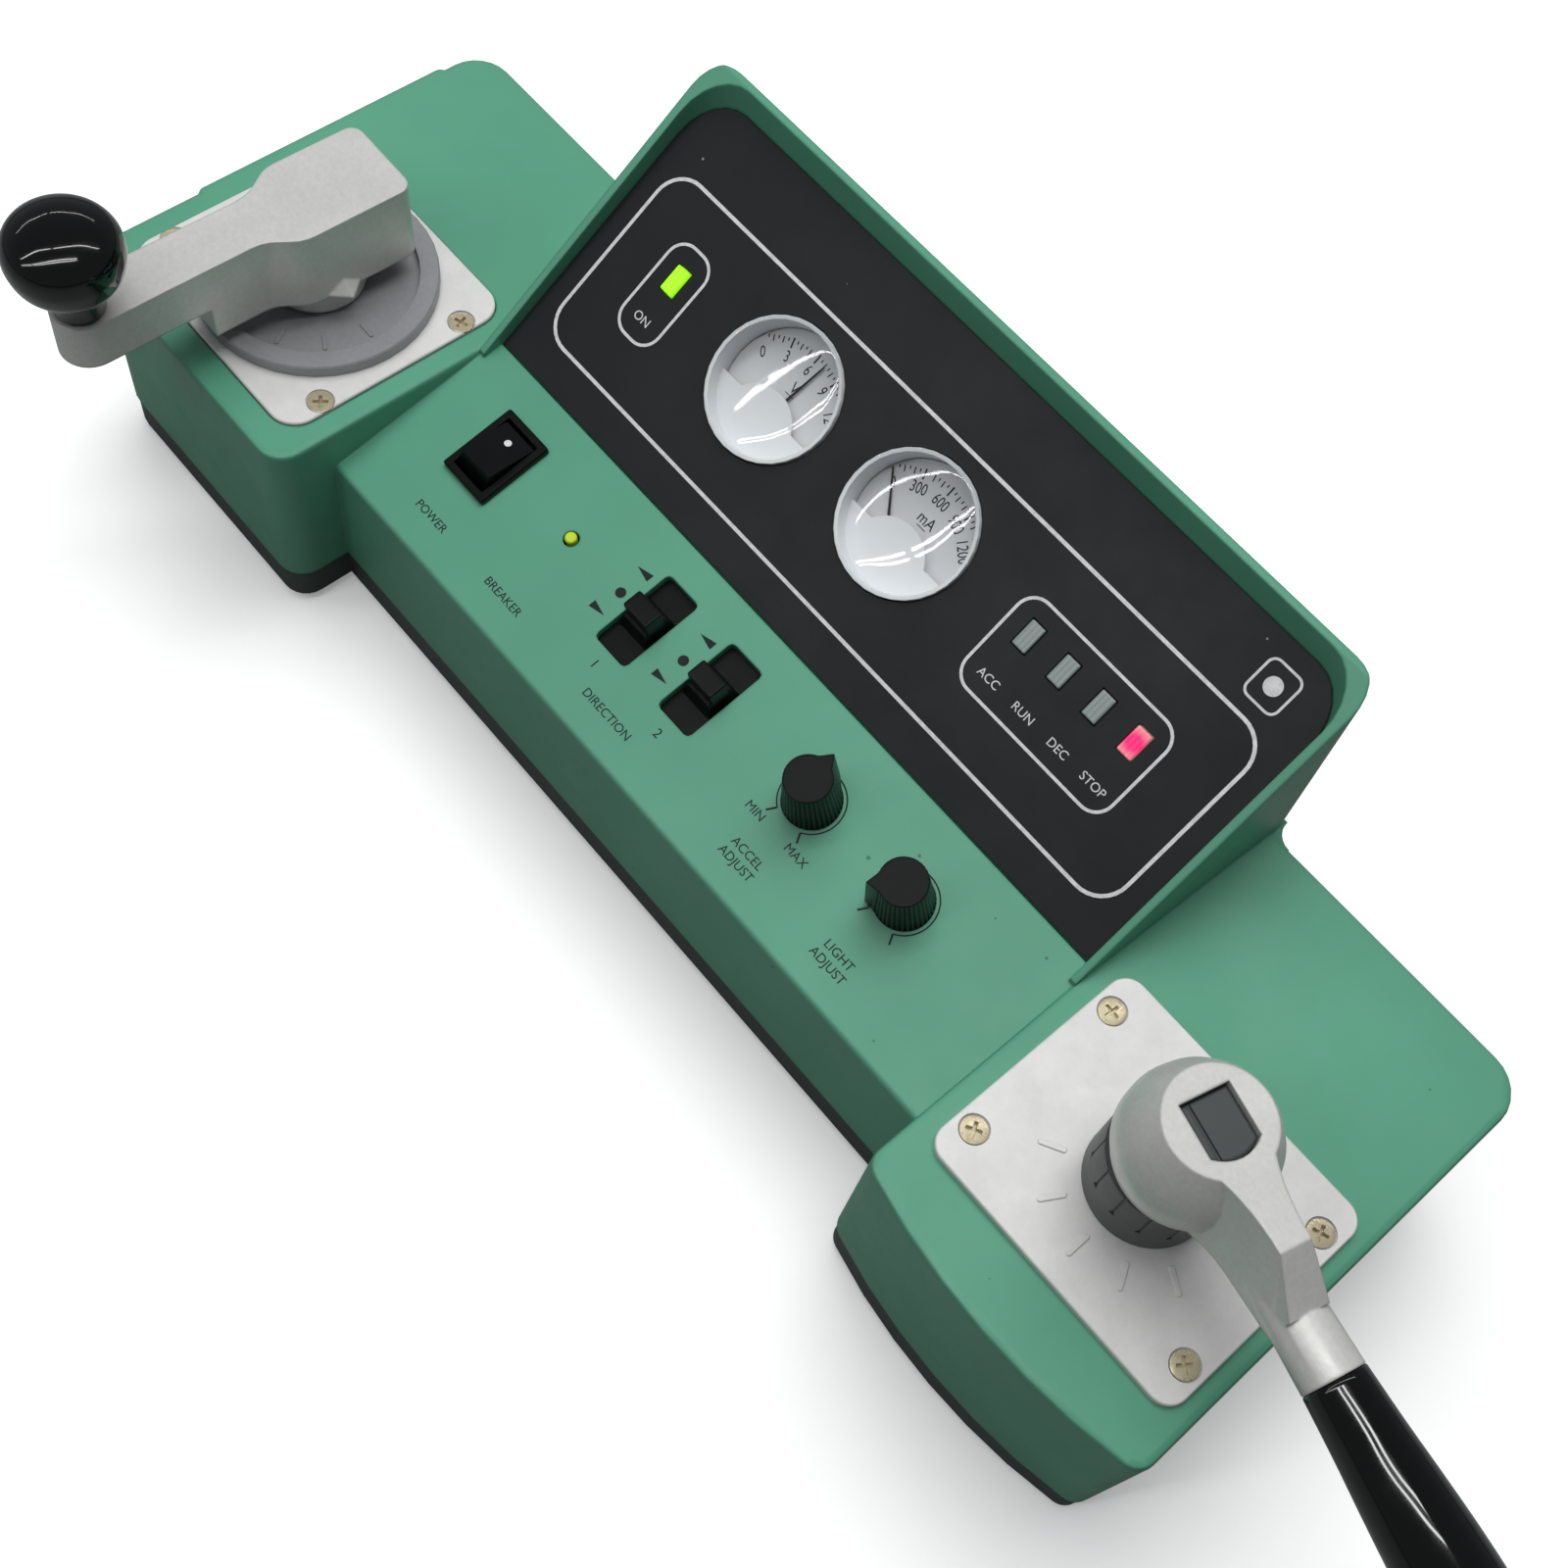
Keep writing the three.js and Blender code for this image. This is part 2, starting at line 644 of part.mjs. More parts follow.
// Plate centred on the Z axis, with countersunk screw holes.
function handlePlate(plate, bore) {
  const wide = plate.width / 2;
  const deep = plate.depth / 2;
  const shape = rectangle(-wide, wide, -deep, deep, plate.corner);
  let body = softPrism(shape, plate.top - PLATE_THICK, plate.top, 0.3, 1, 1, 6);
  body = body.subtract(rod(0, 0, bore, 50, 80));
  for (const [dx, dy] of plateScrewSpots()) {
    const sink = turned([[0, -3], [1.8, -3], [1.8, -2.1], [3.5, -0.4], [3.5, 1], [0, 1]], 20);
    body = body.subtract(sink.translate([dx, dy, plate.top]));
  }
  return body;
}

function leftPlate() {
  const body = handlePlate(LEFT_PLATE, 4.4);
  return piece("left_plate", body.translate([MASTER_X, AXIS_Y, 0]), ALUMINIUM, 0.4, 0.9);
}

// Raised bars on an arc about the Z axis, one for each notch of the handle.
function notchMarks(inner, outer, half, base, top) {
  const marks = [];
  for (let i = 0; i < NOTCHES; i += 1) {
    const bar = softPrism(rectangle(inner, outer, -half, half, half * 0.9), base, top, 0.15, 1, 1, 2);
    marks.push(bar.rotate([0, 0, -NOTCH_STEP * i]));
  }
  return marks;
}

function rightPlate() {
  const marks = notchMarks(17.6, 24, 0.65, RIGHT_PLATE.top - 0.5, RIGHT_PLATE.top + 0.4);
  const body = union(handlePlate(RIGHT_PLATE, 10.5), ...marks);
  return piece("right_plate", body.translate([BRAKE_X, AXIS_Y, 0]), ALUMINIUM, 0.4, 0.9);
}

function masterDial() {
  const base = LEFT_PLATE.top + SEAM;
  const body = turned(
    [
      [3.9, base],
      [DIAL.ring, base],
      [DIAL.ring, DIAL.top - 0.4],
      [DIAL.ring - 0.4, DIAL.top],
      [DIAL.inner, DIAL.top],
      [DIAL.inner, DIAL.floor],
      [3.9, DIAL.floor],
      [3.9, base],
    ],
    40,
  );
  const marked = union(body, ...notchMarks(18.2, 23, 0.5, DIAL.floor - 0.3, DIAL.floor + 0.4));
  return piece("master_dial", marked.translate([MASTER_X, AXIS_Y, 0]), 0x9c9ca0, 0.45, 0.8);
}

// ---------------------------------------------------------------- master controller

// Plan of the master handle: x is the distance along the arm from the turning axis.
function masterPlan() {
  const corner = 4;
  const shape = new THREE.Shape();
  shape.moveTo(HEAD_REAR + corner, -HEAD_HALF);
  shape.lineTo(1, -HEAD_HALF);
  shape.bezierCurveTo(7, -HEAD_HALF, 8, -ARM_HALF, 15, -ARM_HALF);
  shape.lineTo(ARM_REACH, -ARM_HALF);
  shape.absarc(ARM_REACH, 0, ARM_HALF, -Math.PI / 2, Math.PI / 2, false);
  shape.lineTo(19, ARM_HALF);
  shape.bezierCurveTo(13, ARM_HALF, 12, HEAD_HALF, 5, HEAD_HALF);
  shape.lineTo(HEAD_REAR + corner, HEAD_HALF);
  shape.absarc(HEAD_REAR + corner, HEAD_HALF - corner, corner, Math.PI / 2, Math.PI, false);
  shape.lineTo(HEAD_REAR, corner - HEAD_HALF);
  shape.absarc(HEAD_REAR + corner, corner - HEAD_HALF, corner, Math.PI, 1.5 * Math.PI, false);
  return shape;
}

// Four-sided pointer on the side of the hub, just under the deep end of the handle.
function masterPointer() {
  const height = 4.4;
  const cone = new THREE.CylinderGeometry(0, 1, height, 4, 1);
  cone.rotateZ(-Math.PI / 2);
  cone.scale(1, 3.4, 5.3);
  cone.rotateX(Math.PI / 2);
  cone.translate(HEAD_HALF + height / 2 - 0.4, 0, HANDLE_UNDER + 0.8);
  return solid(cone);
}

function masterHandle() {
  const shoulder = HANDLE_UNDER + 0.1;
  const lever = taperedPrism(masterPlan(), HANDLE_UNDER, shoulder, HANDLE_TOP, HANDLE_DRAFT, 8);
  const underArm = box(32, 90, -20, 20, HANDLE_UNDER - 5, ARM_UNDER);
  const hub = rod(0, 0, HUB.radius, HUB.under, HANDLE_UNDER + 1, 32);
  const pointer = masterPointer().rotate([0, 0, -MASTER_HEADING]);
  const bore = rod(0, 0, SHAFT_R + GAP, HUB.under - 1, HANDLE_TOP - 8.3, 14);
  const body = union(cut(lever, underArm), hub, pointer).subtract(bore);
  return piece("master_handle", body, CAST_SILVER, 0.35, 0.9);
}

function masterShaft() {
  const shaft = rod(0, 0, SHAFT_R, SHAFT_FOOT, HANDLE_TOP - 8.5, 14);
  return piece("master_shaft", shaft, STEEL, 0.4, 0.9);
}

function masterKnob() {
  const base = HANDLE_TOP + SEAM;
  const body = turned(
    [
      [0, base],
      [6, base],
      [6.2, base + 3],
      [7, base + 6],
      [9.4, base + 8.6],
      [12, base + 12],
      [13.1, base + 15.5],
      [13.2, base + 18],
      [12.7, base + 20.6],
      [11, base + 23.2],
      [7.6, base + 25.4],
      [0, base + 26.8],
    ],
    32,
  );
  return piece("master_knob", body.translate([ARM_REACH, 0, 0]), BLACK, 0.15);
}

function masterController() {
  return standingAt(MASTER_X, AXIS_Y, MASTER_HEADING, [masterShaft(), masterHandle(), masterKnob()]);
}

// ---------------------------------------------------------------- brake controller

function brakeCollar() {
  const base = RIGHT_PLATE.top + SEAM;
  let body = turned(
    [
      [9.5, base],
      [COLLAR_R, base],
      [COLLAR_R, COLLAR_TOP - 0.8],
      [COLLAR_R - 0.8, COLLAR_TOP],
      [9.5, COLLAR_TOP],
      [9.5, base],
    ],
    48,
  );
  const foot = base + 8.5;
  for (let i = 0; i < COLLAR_LINES; i += 1) {
    const groove = box(COLLAR_R - 0.35, COLLAR_R + 1, -0.25, 0.25, foot, COLLAR_TOP + 1);
    const drill = rod(0, 0, 0.65, COLLAR_R - 0.6, COLLAR_R + 1, 8).rotate([0, 90, 0]);
    const line = groove.add(drill.translate([0, 0, foot]));
    body = body.subtract(line.rotate([0, 0, COLLAR_FIRST - COLLAR_STEP * i]));
  }
  return piece("brake_collar", body.translate([BRAKE_X, AXIS_Y, 0]), 0x464b4c, 0.5);
}

function tongueShape(inset) {
  const { back, front, half } = TONGUE;
  const side = half - inset;
  const shape = new THREE.Shape();
  const shoulder = front - 2.2;
  shape.moveTo(back + inset, -side);
  shape.lineTo(shoulder, -side);
  shape.quadraticCurveTo(front - inset, -side * 0.55, front - inset, 0);
  shape.quadraticCurveTo(front - inset, side * 0.55, shoulder, side);
  shape.lineTo(back + inset, side);
  shape.closePath();
  return shape;
}

function brakeSpindle() {
  const shoulder = COLLAR_TOP + GAP;
  const flare = [[SHAFT_R, 58], [9.1, 60]];
  const post = turned([[0, SHAFT_FOOT], [SHAFT_R, SHAFT_FOOT], ...flare, [9.1, shoulder], [0, shoulder]], 20);
  const tongue = softPrism(tongueShape(GAP), 70, BRAKE_TOP - 1.2, 0.5, 1, 1, 4);
  const groove = box(-10, 10, -4, -3.2, BRAKE_TOP - 1.8, BRAKE_TOP);
  return piece("brake_spindle", post.add(tongue).subtract(groove), BLACK, 0.4);
}

// Neck between the head and the ferrule: flat top, walls drawing in upwards, and a sloping
// facet that runs down to the ferrule.
function brakeNeck() {
  const start = -4; // inside the head
  const root = { x: 4, half: 13.4 };
  const waist = { x: 27, half: 6.5 };
  const end = { x: 40, half: 6.2 };
  const plan = new THREE.Shape();
  plan.moveTo(start, -root.half);
  plan.lineTo(root.x, -root.half);
  plan.quadraticCurveTo(root.x + 9, -waist.half, waist.x, -waist.half);
  plan.lineTo(end.x, -end.half);
  plan.lineTo(end.x, end.half);
  plan.lineTo(waist.x, waist.half);
  plan.quadraticCurveTo(root.x + 9, waist.half, root.x, root.half);
  plan.lineTo(start, root.half);
  plan.closePath();
  const walls = taperedPrism(plan, 84, 88, BRAKE_TOP, 3, 10);
  const profile = outline([
    [start, 88],
    [12, 88],
    [20, 89.5, 8],
    [38, 91],
    [38, BRAKE_AXIS_Z + FERRULE_R - 0.8],
    [waist.x, BRAKE_TOP],
    [start, BRAKE_TOP],
  ]);
  const geometry = new THREE.ExtrudeGeometry(profile, { depth: 40, bevelEnabled: false, curveSegments: 4 });
  geometry.translate(0, 0, -20);
  geometry.rotateX(Math.PI / 2);
  return walls.intersect(solid(geometry));
}

function alongGrip(body) {
  return body.rotate([0, 90, 0]).translate([0, 0, BRAKE_AXIS_Z]);
}

function brakeHandle() {
  const head = turned(
    [
      [0, 84.2],
      [12.6, 84.2],
      [15, 87.4],
      [16.3, 92],
      [16.3, 97],
      [15.3, 101.8],
      [13.3, 106.6],
      [11.4, BRAKE_TOP],
      [0, BRAKE_TOP],
    ],
    56,
  ).translate([BRAKE_HEAD_OFFSET, 0, 0]);
  const ferruleEnd = GRIP_START - SEAM;
  const ferrule = turned([[0, 22], [5.4, 25], [6.2, 34], [FERRULE_R, ferruleEnd], [0, ferruleEnd]], 40);
  const socket = prism(tongueShape(0), 80, 120, null, 4);
  const body = union(head, brakeNeck(), alongGrip(ferrule)).subtract(socket);
  return piece("brake_handle", body, CAST_SILVER, 0.35, 0.9);
}

function brakeGrip() {
  const s = GRIP_START;
  const body = turned(
    [
      [0, s],
      [6.7, s],
      [7.5, s + 12],
      [9, s + 30],
      [9.4, s + 44],
      [8.8, s + 54],
      [7, s + 60.5],
      [4, GRIP_END - 0.8],
      [0, GRIP_END],
    ],
    24,
  );
  return piece("brake_grip", alongGrip(body), BLACK, 0.12);
}

function brakeController() {
  return standingAt(BRAKE_X, AXIS_Y, BRAKE_HEADING, [brakeSpindle(), brakeHandle(), brakeGrip()]);
}

// ---------------------------------------------------------------- rotary switches inside the blocks

function rotarySwitch(name, x) {
  const radius = 17;
  const bore = SHAFT_R + GAP;
  const can = turned([[bore, 36], [radius, 36], [radius, 56.5], [bore, 56.5], [bore, 36]], 18);
  const lugs = box(radius - 2, radius + 4, -4, 4, 52, 56.5);
  return piece(name, can.add(lugs).translate([x, AXIS_Y, 0]), 0x2f3338, 0.5);
}

// ---------------------------------------------------------------- instrument panel

function instrumentPanel() {
  const slab = box(-130, 130, 0.5, 100, -PANEL_THICK + SEAM, 0, tiltFrame);
  const body = prism(recessOutline(GAP), 20, 160).intersect(slab);
  return piece("instrument_panel", cut(body, ...tiltOpenings(12)), PANEL_BLACK, 0.7);
}

function meterCase(name, x) {
  const floor = -DIAL_DEPTH - 0.6;
  const cup = turned(
    [
      [0, -METER_DEPTH],
      [METER_R, -METER_DEPTH],
      [METER_R, 1],
      [16.4, 1],
      [16.4, floor],
      [0, floor],
    ],
    32,
  );
  const under = -COVER_DEPTH - 0.6;
  const shelf = box(-17, 17, -17, COVER_EDGE, under, -COVER_DEPTH);
  const bump = rod(0, NEEDLE_PIVOT, -NEEDLE_PIVOT, under, -COVER_DEPTH, 28);
  const cover = shelf.add(bump).intersect(rod(0, 0, 16.8, -12, 0, 32));
  const axle = rod(0, NEEDLE_PIVOT, 1.2, -12, -DIAL_DEPTH + 1, 10);
  const mesh = piece(name, cut(cup.add(cover), axle), 0xd2d4d6, 0.5);
  mesh.position.set(x, METER_UP, 0);
  return mesh;
}

function meterDial(name, x) {
  const disc = rod(0, 0, 16.2, -DIAL_DEPTH - 0.45, -DIAL_DEPTH, 24);
  const mesh = piece(name, disc.subtract(rod(0, NEEDLE_PIVOT, 1.4, -12, 0, 10)), 0xd8dadc, 0.6);
  mesh.position.set(x, METER_UP, 0);
  return mesh;
}

function meterNeedle(name, x, degrees) {
  const arm = outline([[-0.45, -4], [0.45, -4], [0.2, NEEDLE_REACH], [-0.2, NEEDLE_REACH]]);
  const blade = prism(arm, -DIAL_DEPTH + 0.8, -DIAL_DEPTH + 1.1);
  const boss = rod(0, 0, 1.8, -DIAL_DEPTH + 0.5, -DIAL_DEPTH + 1.8, 10);
  const pin = rod(0, 0, 0.8, -11, -DIAL_DEPTH + 1, 8);
  const mesh = piece(name, union(blade, boss, pin), 0x161616, 0.5);
  mesh.position.set(x, METER_UP + NEEDLE_PIVOT, 0);
  mesh.rotation.z = deg(degrees);
  return mesh;
}

function meterLens(name, x) {
  const dome = turned([[0, 1.1], [METER_R, 1.1], [METER_R, 1.9], [14.5, 3], [0, 3.9]], 32);
  const mesh = piece(name, dome, 0xdfe6ea, 0.05);
  mesh.material.transparent = true;
  mesh.material.opacity = 0.35;
  mesh.position.set(x, METER_UP, 0);
  return mesh;
}

function lamp(name, x, colour) {
  const half = LAMP.width / 2;
  const reach = LAMP.height / 2;
  const body = softPrism(rectangle(-half, half, -reach, reach, 0.3), -9, 0.5, 0.25, 1, 1, 1);
  const mesh = piece(name, body, colour, 0.3);
  mesh.position.set(x, LAMP.up, 0);
  return mesh;
}

function lamps() {
  const names = ["power_lamp", "status_lamp_1", "status_lamp_2", "status_lamp_3", "status_lamp_4"];
  const colours = [0x8eeb1e, 0x7f8a88, 0x7f8a88, 0x7f8a88, 0xc86a62];
  return lampSpots().map((x, i) => lamp(names[i], x, colours[i]));
}

function instruments() {
  return grouped(tiltFrame, [
    meterCase("voltmeter_case", VOLT_X),
    meterDial("voltmeter_dial", VOLT_X),
    meterNeedle("voltmeter_needle", VOLT_X, VOLT_REST),
    meterLens("voltmeter_lens", VOLT_X),
    meterCase("ammeter_case", AMP_X),
    meterDial("ammeter_dial", AMP_X),
    meterNeedle("ammeter_needle", AMP_X, AMP_REST),
    meterLens("ammeter_lens", AMP_X),
    ...lamps(),
  ]);
}

// ---------------------------------------------------------------- switches on the sloping panel

function powerSwitchBody() {
  const bezel = softPrism(rectangle(-7.6, 7.6, -10.5, 10.5, 0.6), SEAM, 1.9, 0.5, 1, 1, 1);
  const body = box(-6.4, 6.4, -9.5, 9.5, -15, 0.5);
  const opening = box(-5.6, 5.6, -8.6, 8.6, -10, 4);
  const mesh = piece("power_switch_body", bezel.add(body).subtract(opening), 0x232526, 0.5);
  mesh.position.set(ROCKER_X, -SWITCH_DOWN, 0);
  return mesh;
}

// Rocker drawn level about its axle at the origin, then set to the pressed position.
function powerRocker() {
  const side = outline([[-7.6, -0.6], [-4, -4.6], [4, -4.6], [7.6, -0.6], [6.8, 4.4], [-6.8, 4.4]]);
  const geometry = new THREE.ExtrudeGeometry(side, { depth: 10.6, bevelEnabled: false });
  geometry.translate(0, 0, -5.3);
  const toSide = new THREE.Matrix4().makeBasis(
    new THREE.Vector3(0, 1, 0),
    new THREE.Vector3(0, 0, 1),
    new THREE.Vector3(1, 0, 0),
  );
  geometry.applyMatrix4(toSide);
  const mesh = piece("power_rocker", solid(geometry), 0x1e2021, 0.45);
  mesh.position.set(ROCKER_X, -SWITCH_DOWN, -1);
  mesh.rotation.x = -ROCKER_TILT;
  return mesh;
}

function breaker() {
  const can = box(-6, 6, -7, 7, -22, -3);
  const body = piece("breaker_body", can.subtract(rod(0, 0, 1.9, -14, 0, 20)), BLACK, 0.5);
  const plunger = turned([[0, -12], [1.5, -12], [1.5, 0.7], [1.2, 1], [0, 1]], 20);
  const button = piece("breaker_button", plunger, 0xbfd22f, 0.4);
  for (const mesh of [body, button]) mesh.position.set(BREAKER_X, -SWITCH_DOWN, 0);
  return [body, button];
}

// Slide switch: its housing hangs below the panel, and the slider's shutter closes the slot.
function directionSwitch(number) {
  const roof = SHUTTER.top - SHUTTER.thick - GAP;
  const { half, reach } = SLIDER_STEM;
  const channelReach = reach + SLIDER_TRAVEL + GAP;
  const shutterReach = channelReach + SLIDER_TRAVEL + GAP;
  const housing = box(-6.8, 6.8, -14, 14, -15, roof);
  const channel = box(-half - GAP, half + GAP, -channelReach, channelReach, -10, 0);
  const body = piece(`direction_switch_${number}_body`, housing.subtract(channel), BLACK, 0.5);
  const shutter = box(-6.2, 6.2, -shutterReach, shutterReach, SHUTTER.top - SHUTTER.thick, SHUTTER.top);
  const stem = box(-half, half, -reach, reach, -9, SHUTTER.top);
  const wings = taperedPrism(rectangle(-4.9, 4.9, -4.6, 4.6), SHUTTER.top, SHUTTER.top + 0.6, 2.6, 1.2);
  const cap = softPrism(rectangle(-4.2, 4.2, -2.6, 2.6, 0.6), -1, 7.4, 0.5, 1, 2, 2);
  const slider = piece(`direction_slider_${number}`, union(shutter, stem, wings, cap), BLACK, 0.4);
  for (const mesh of [body, slider]) mesh.position.set(SLIDER_X[number - 1], -SWITCH_DOWN, 0);
  return [body, slider];
}

function potentiometer(number) {
  const can = rod(0, 0, 8.2, -12.6, -2.8, 16);
  const bushing = rod(0, 0, 4.2, -3, 1.6, 12);
  const bore = rod(0, 0, 3.3, -10.5, 4, 12);
  const mesh = piece(`potentiometer_${number}`, cut(can.add(bushing), bore), 0x8d9092, 0.4, 0.8);
  mesh.position.set(KNOB_X[number - 1], -SWITCH_DOWN, 0);
  return mesh;
}

// Pointer knob with a ribbed conical skirt and a short shaft that enters the potentiometer.
function controlKnob(number) {
  const ribs = 20;
  const base = 0.5;
  const skirt = new THREE.CylinderGeometry(5.7, 7.1, KNOB_TOP - base, ribs * 2, 1);
  const at = skirt.attributes.position;
  for (let i = 0; i < at.count; i += 1) {
    const angle = Math.atan2(at.getZ(i), at.getX(i));
    const inward = Math.round((angle / Math.PI) * ribs) % 2 === 0 ? 1 : 0.945;
    at.setX(i, at.getX(i) * inward);
    at.setZ(i, at.getZ(i) * inward);
  }
  skirt.rotateX(Math.PI / 2);
  skirt.translate(0, 0, (KNOB_TOP + base) / 2);
  const beakPlan = outline([[-2.6, 3], [2.6, 3], [0.8, 8.9, 0.5], [-0.8, 8.9, 0.5]]);
  const beak = taperedPrism(beakPlan, base, base + 1, KNOB_TOP, 0.4);
  const cap = rod(0, 0, 5.75, KNOB_TOP - 1, KNOB_TOP + 0.3, 20, 5.5);
  const hollow = rod(0, 0, 4.6, -1, 2.2, 12);
  const shaft = rod(0, 0, 3, -8, 3, 12);
  const body = cut(union(solid(skirt), beak, cap), hollow).add(shaft);
  const mesh = piece(`control_knob_${number}`, body, 0x17191b, 0.35);
  mesh.position.set(KNOB_X[number - 1], -SWITCH_DOWN, 0);
  mesh.rotation.z = deg(KNOB_TURN[number - 1]);
  return mesh;
}

function switches() {
  return grouped(slopeFrame, [
    powerSwitchBody(),
    powerRocker(),
    ...breaker(),
    ...directionSwitch(1),
    ...directionSwitch(2),
    potentiometer(1),
    potentiometer(2),
    controlKnob(1),
    controlKnob(2),
  ]);
}

// ---------------------------------------------------------------- board and sockets

function circuitBoard() {
  const slab = box(BOARD.left, BOARD.right, BOARD.front, BOARD.back, BOARD.z, BOARD.z + BOARD.thick);
  return piece("circuit_board", slab, 0x2d6b3c, 0.5);
}

function powerJack() {
  const body = box(JACK_X - 6.5, JACK_X + 6.5, 57, HOOD_REAR + 0.6, 21.8, 33.9);
  const barrel = rod(0, 0, 3.2, 0, 12, 20);
  const pin = rod(0, 0, 1, -1, 11, 12);
  const hole = barrel.subtract(pin).rotate([-90, 0, 0]).translate([JACK_X, HOOD_REAR - 9, 28]);
  return piece("power_jack", body.subtract(hole), BLACK, 0.5);
}

function outputSockets() {
  let body = box(SOCKET_X - 25, SOCKET_X + 25, 57, HOOD_REAR + 0.6, 21.8, 33);
  for (let i = -1; i <= 1; i += 1) {
    const x = SOCKET_X + i * 16;
    body = body.subtract(box(x - 5.5, x + 5.5, HOOD_REAR - 8, HOOD_REAR + 2, 24, 31));
  }
  return piece("output_sockets", body, 0xd9d6cc, 0.5);
}

// ---------------------------------------------------------------- assembly

const controller = new THREE.Group();
controller.name = "train_controller";
controller.add(
  upperCase(),
  baseTray(),
  ...feet(),
  ...baseScrews(),
  leftPlate(),
  ...plateScrews("left", MASTER_X, LEFT_PLATE.top - 0.15),
  rightPlate(),
  ...plateScrews("right", BRAKE_X, RIGHT_PLATE.top - 0.15),
  masterDial(),
  masterController(),
  brakeCollar(),
  brakeController(),
  rotarySwitch("master_switch", MASTER_X),
  rotarySwitch("brake_switch", BRAKE_X),
  instrumentPanel(),
  instruments(),
  switches(),
  circuitBoard(),
  powerJack(),
  outputSockets(),
);

export default controller;
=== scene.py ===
"""Looks of the two-handle model train controller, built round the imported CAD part.

Lengths are metres unless a name ends in _MM or a comment says otherwise. Places come from the
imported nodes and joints.
Drawn marks use the two panel frames: x across, y up the panel, z out of its face, in millimetres.
"""

import json
import math

import bpy
from mathutils import Matrix, Vector


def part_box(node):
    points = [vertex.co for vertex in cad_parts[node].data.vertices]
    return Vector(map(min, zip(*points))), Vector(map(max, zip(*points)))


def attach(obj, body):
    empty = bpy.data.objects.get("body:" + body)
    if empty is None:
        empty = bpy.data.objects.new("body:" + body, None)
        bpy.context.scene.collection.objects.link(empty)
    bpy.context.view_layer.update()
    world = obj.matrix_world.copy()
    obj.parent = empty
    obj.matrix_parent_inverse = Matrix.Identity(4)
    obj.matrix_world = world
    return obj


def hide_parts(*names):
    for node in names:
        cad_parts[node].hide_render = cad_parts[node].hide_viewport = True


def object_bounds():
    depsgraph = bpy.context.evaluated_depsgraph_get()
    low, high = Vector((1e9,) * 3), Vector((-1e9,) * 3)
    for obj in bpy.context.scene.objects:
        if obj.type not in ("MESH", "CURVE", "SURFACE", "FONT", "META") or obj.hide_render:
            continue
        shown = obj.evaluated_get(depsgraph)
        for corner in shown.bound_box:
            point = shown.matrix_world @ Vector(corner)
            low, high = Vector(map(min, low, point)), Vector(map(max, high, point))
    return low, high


# ------------------------------------------------------------------ driving values

MM = 0.001
CASE = "case"  # the body every fixed mark rides on
INK_LIFT_MM = 0.05  # printed marks stand this far above their surface
INK_THICK_MM = 0.1  # they reach this far down from there, into the surface

CAMERA_PLACE = (0.1497, -0.1856, 0.4509)
CAMERA_TURN = (26.75, -6.66, 49.06)
CAMERA_LENS = 45.14

FLOOR_HALF = 4.0
FLOOR_DROP = 0.0002  # gap between the floor and the lowest point of the part
FLOOR_LIFT = 0.25  # light the floor shows the camera on top of what falls on it
FLOOR_BOUNCE = (0.24, 0.25, 0.25)  # floor colour seen by the object
WORLD_COLOUR = (0.93, 0.96, 1.0, 1)
WORLD_LIGHT = 0.16

KEY_PLACE = (-0.25, 0.35, 1.3)
KEY_AIM = (0.0, 0.0, 0.05)
KEY_SIZE = (1.1, 1.0)
KEY_POWER = 13.2

# Ceiling tubes, in rows of two; they draw thin lines in the polished parts.
TUBE_ROWS = [(-0.33, -0.95), (-0.28, -0.97), (-0.3, -0.2), (-1.39, 0.3)]
TUBE_HEADING = 63  # degrees from +X
TUBE_HEIGHT = 1.0
TUBE_LENGTH = 1.1
TUBE_WIDTH = 0.02
TUBE_GAP = 0.05
TUBE_POWER = 1.1

MERGE_DISTANCE = 2e-6  # facet corners closer than this are one point
SMOOTH_LIMIT = 38  # facets meeting at less than this angle are shaded as one curve
EDGE_ROUND = 0.0006
HOT_SPOT = (0.0016, 0.0036)  # where the bulb's bright patch starts to fade, and where it ends

# A joint standing square on each panel, and where it is met in the panel's own millimetres.
SLOPE_MARK = {"joint": "adjuster_1_turn", "x": 35.9, "up": -20.2}
TILT_MARK = {"joint": "amp_needle_turn", "x": 5.2, "up": 29.0}

# Everything below is in panel millimetres.

METERS = {
    "voltmeter": {"unit": "V", "numbers": ["0", "3", "6", "9", "12"]},
    "ammeter": {"unit": "mA", "numbers": ["0", "300", "600", "900", "1200"]},
}
METER_UP = 39.4
METER_PIVOT_DOWN = 10.4  # needle pivot below the middle of the window
WINDOW_RADIUS = 16.1  # part of the dial that shows
DIAL_DEPTH_MM = 7.0
DIAL_INK_LIFT_MM = 0.06
SCALE_SWEEP = 80
SCALE_STEPS = 24
TICKS = {  # inner radius, outer radius and width of the three kinds of tick
    "long": (20.6, 23.2, 0.42),
    "middle": (21.2, 22.8, 0.3),
    "short": (22.0, 22.8, 0.3),
}
NUMERAL_RADIUS = 18.4
NUMERAL_SIZE = 4.0
NUMERAL_NARROW = 0.72
UNIT_ASIDE = 0.6  # unit letters and the line under them, from the middle of the window
UNIT_RISE = 2.8
UNIT_NARROW = 0.85
UNIT_LINE_FROM = -0.8
UNIT_LINE_TO = 2.0
UNIT_LINE_RISE = 0.9
UNIT_LINE_WIDTH = 0.2

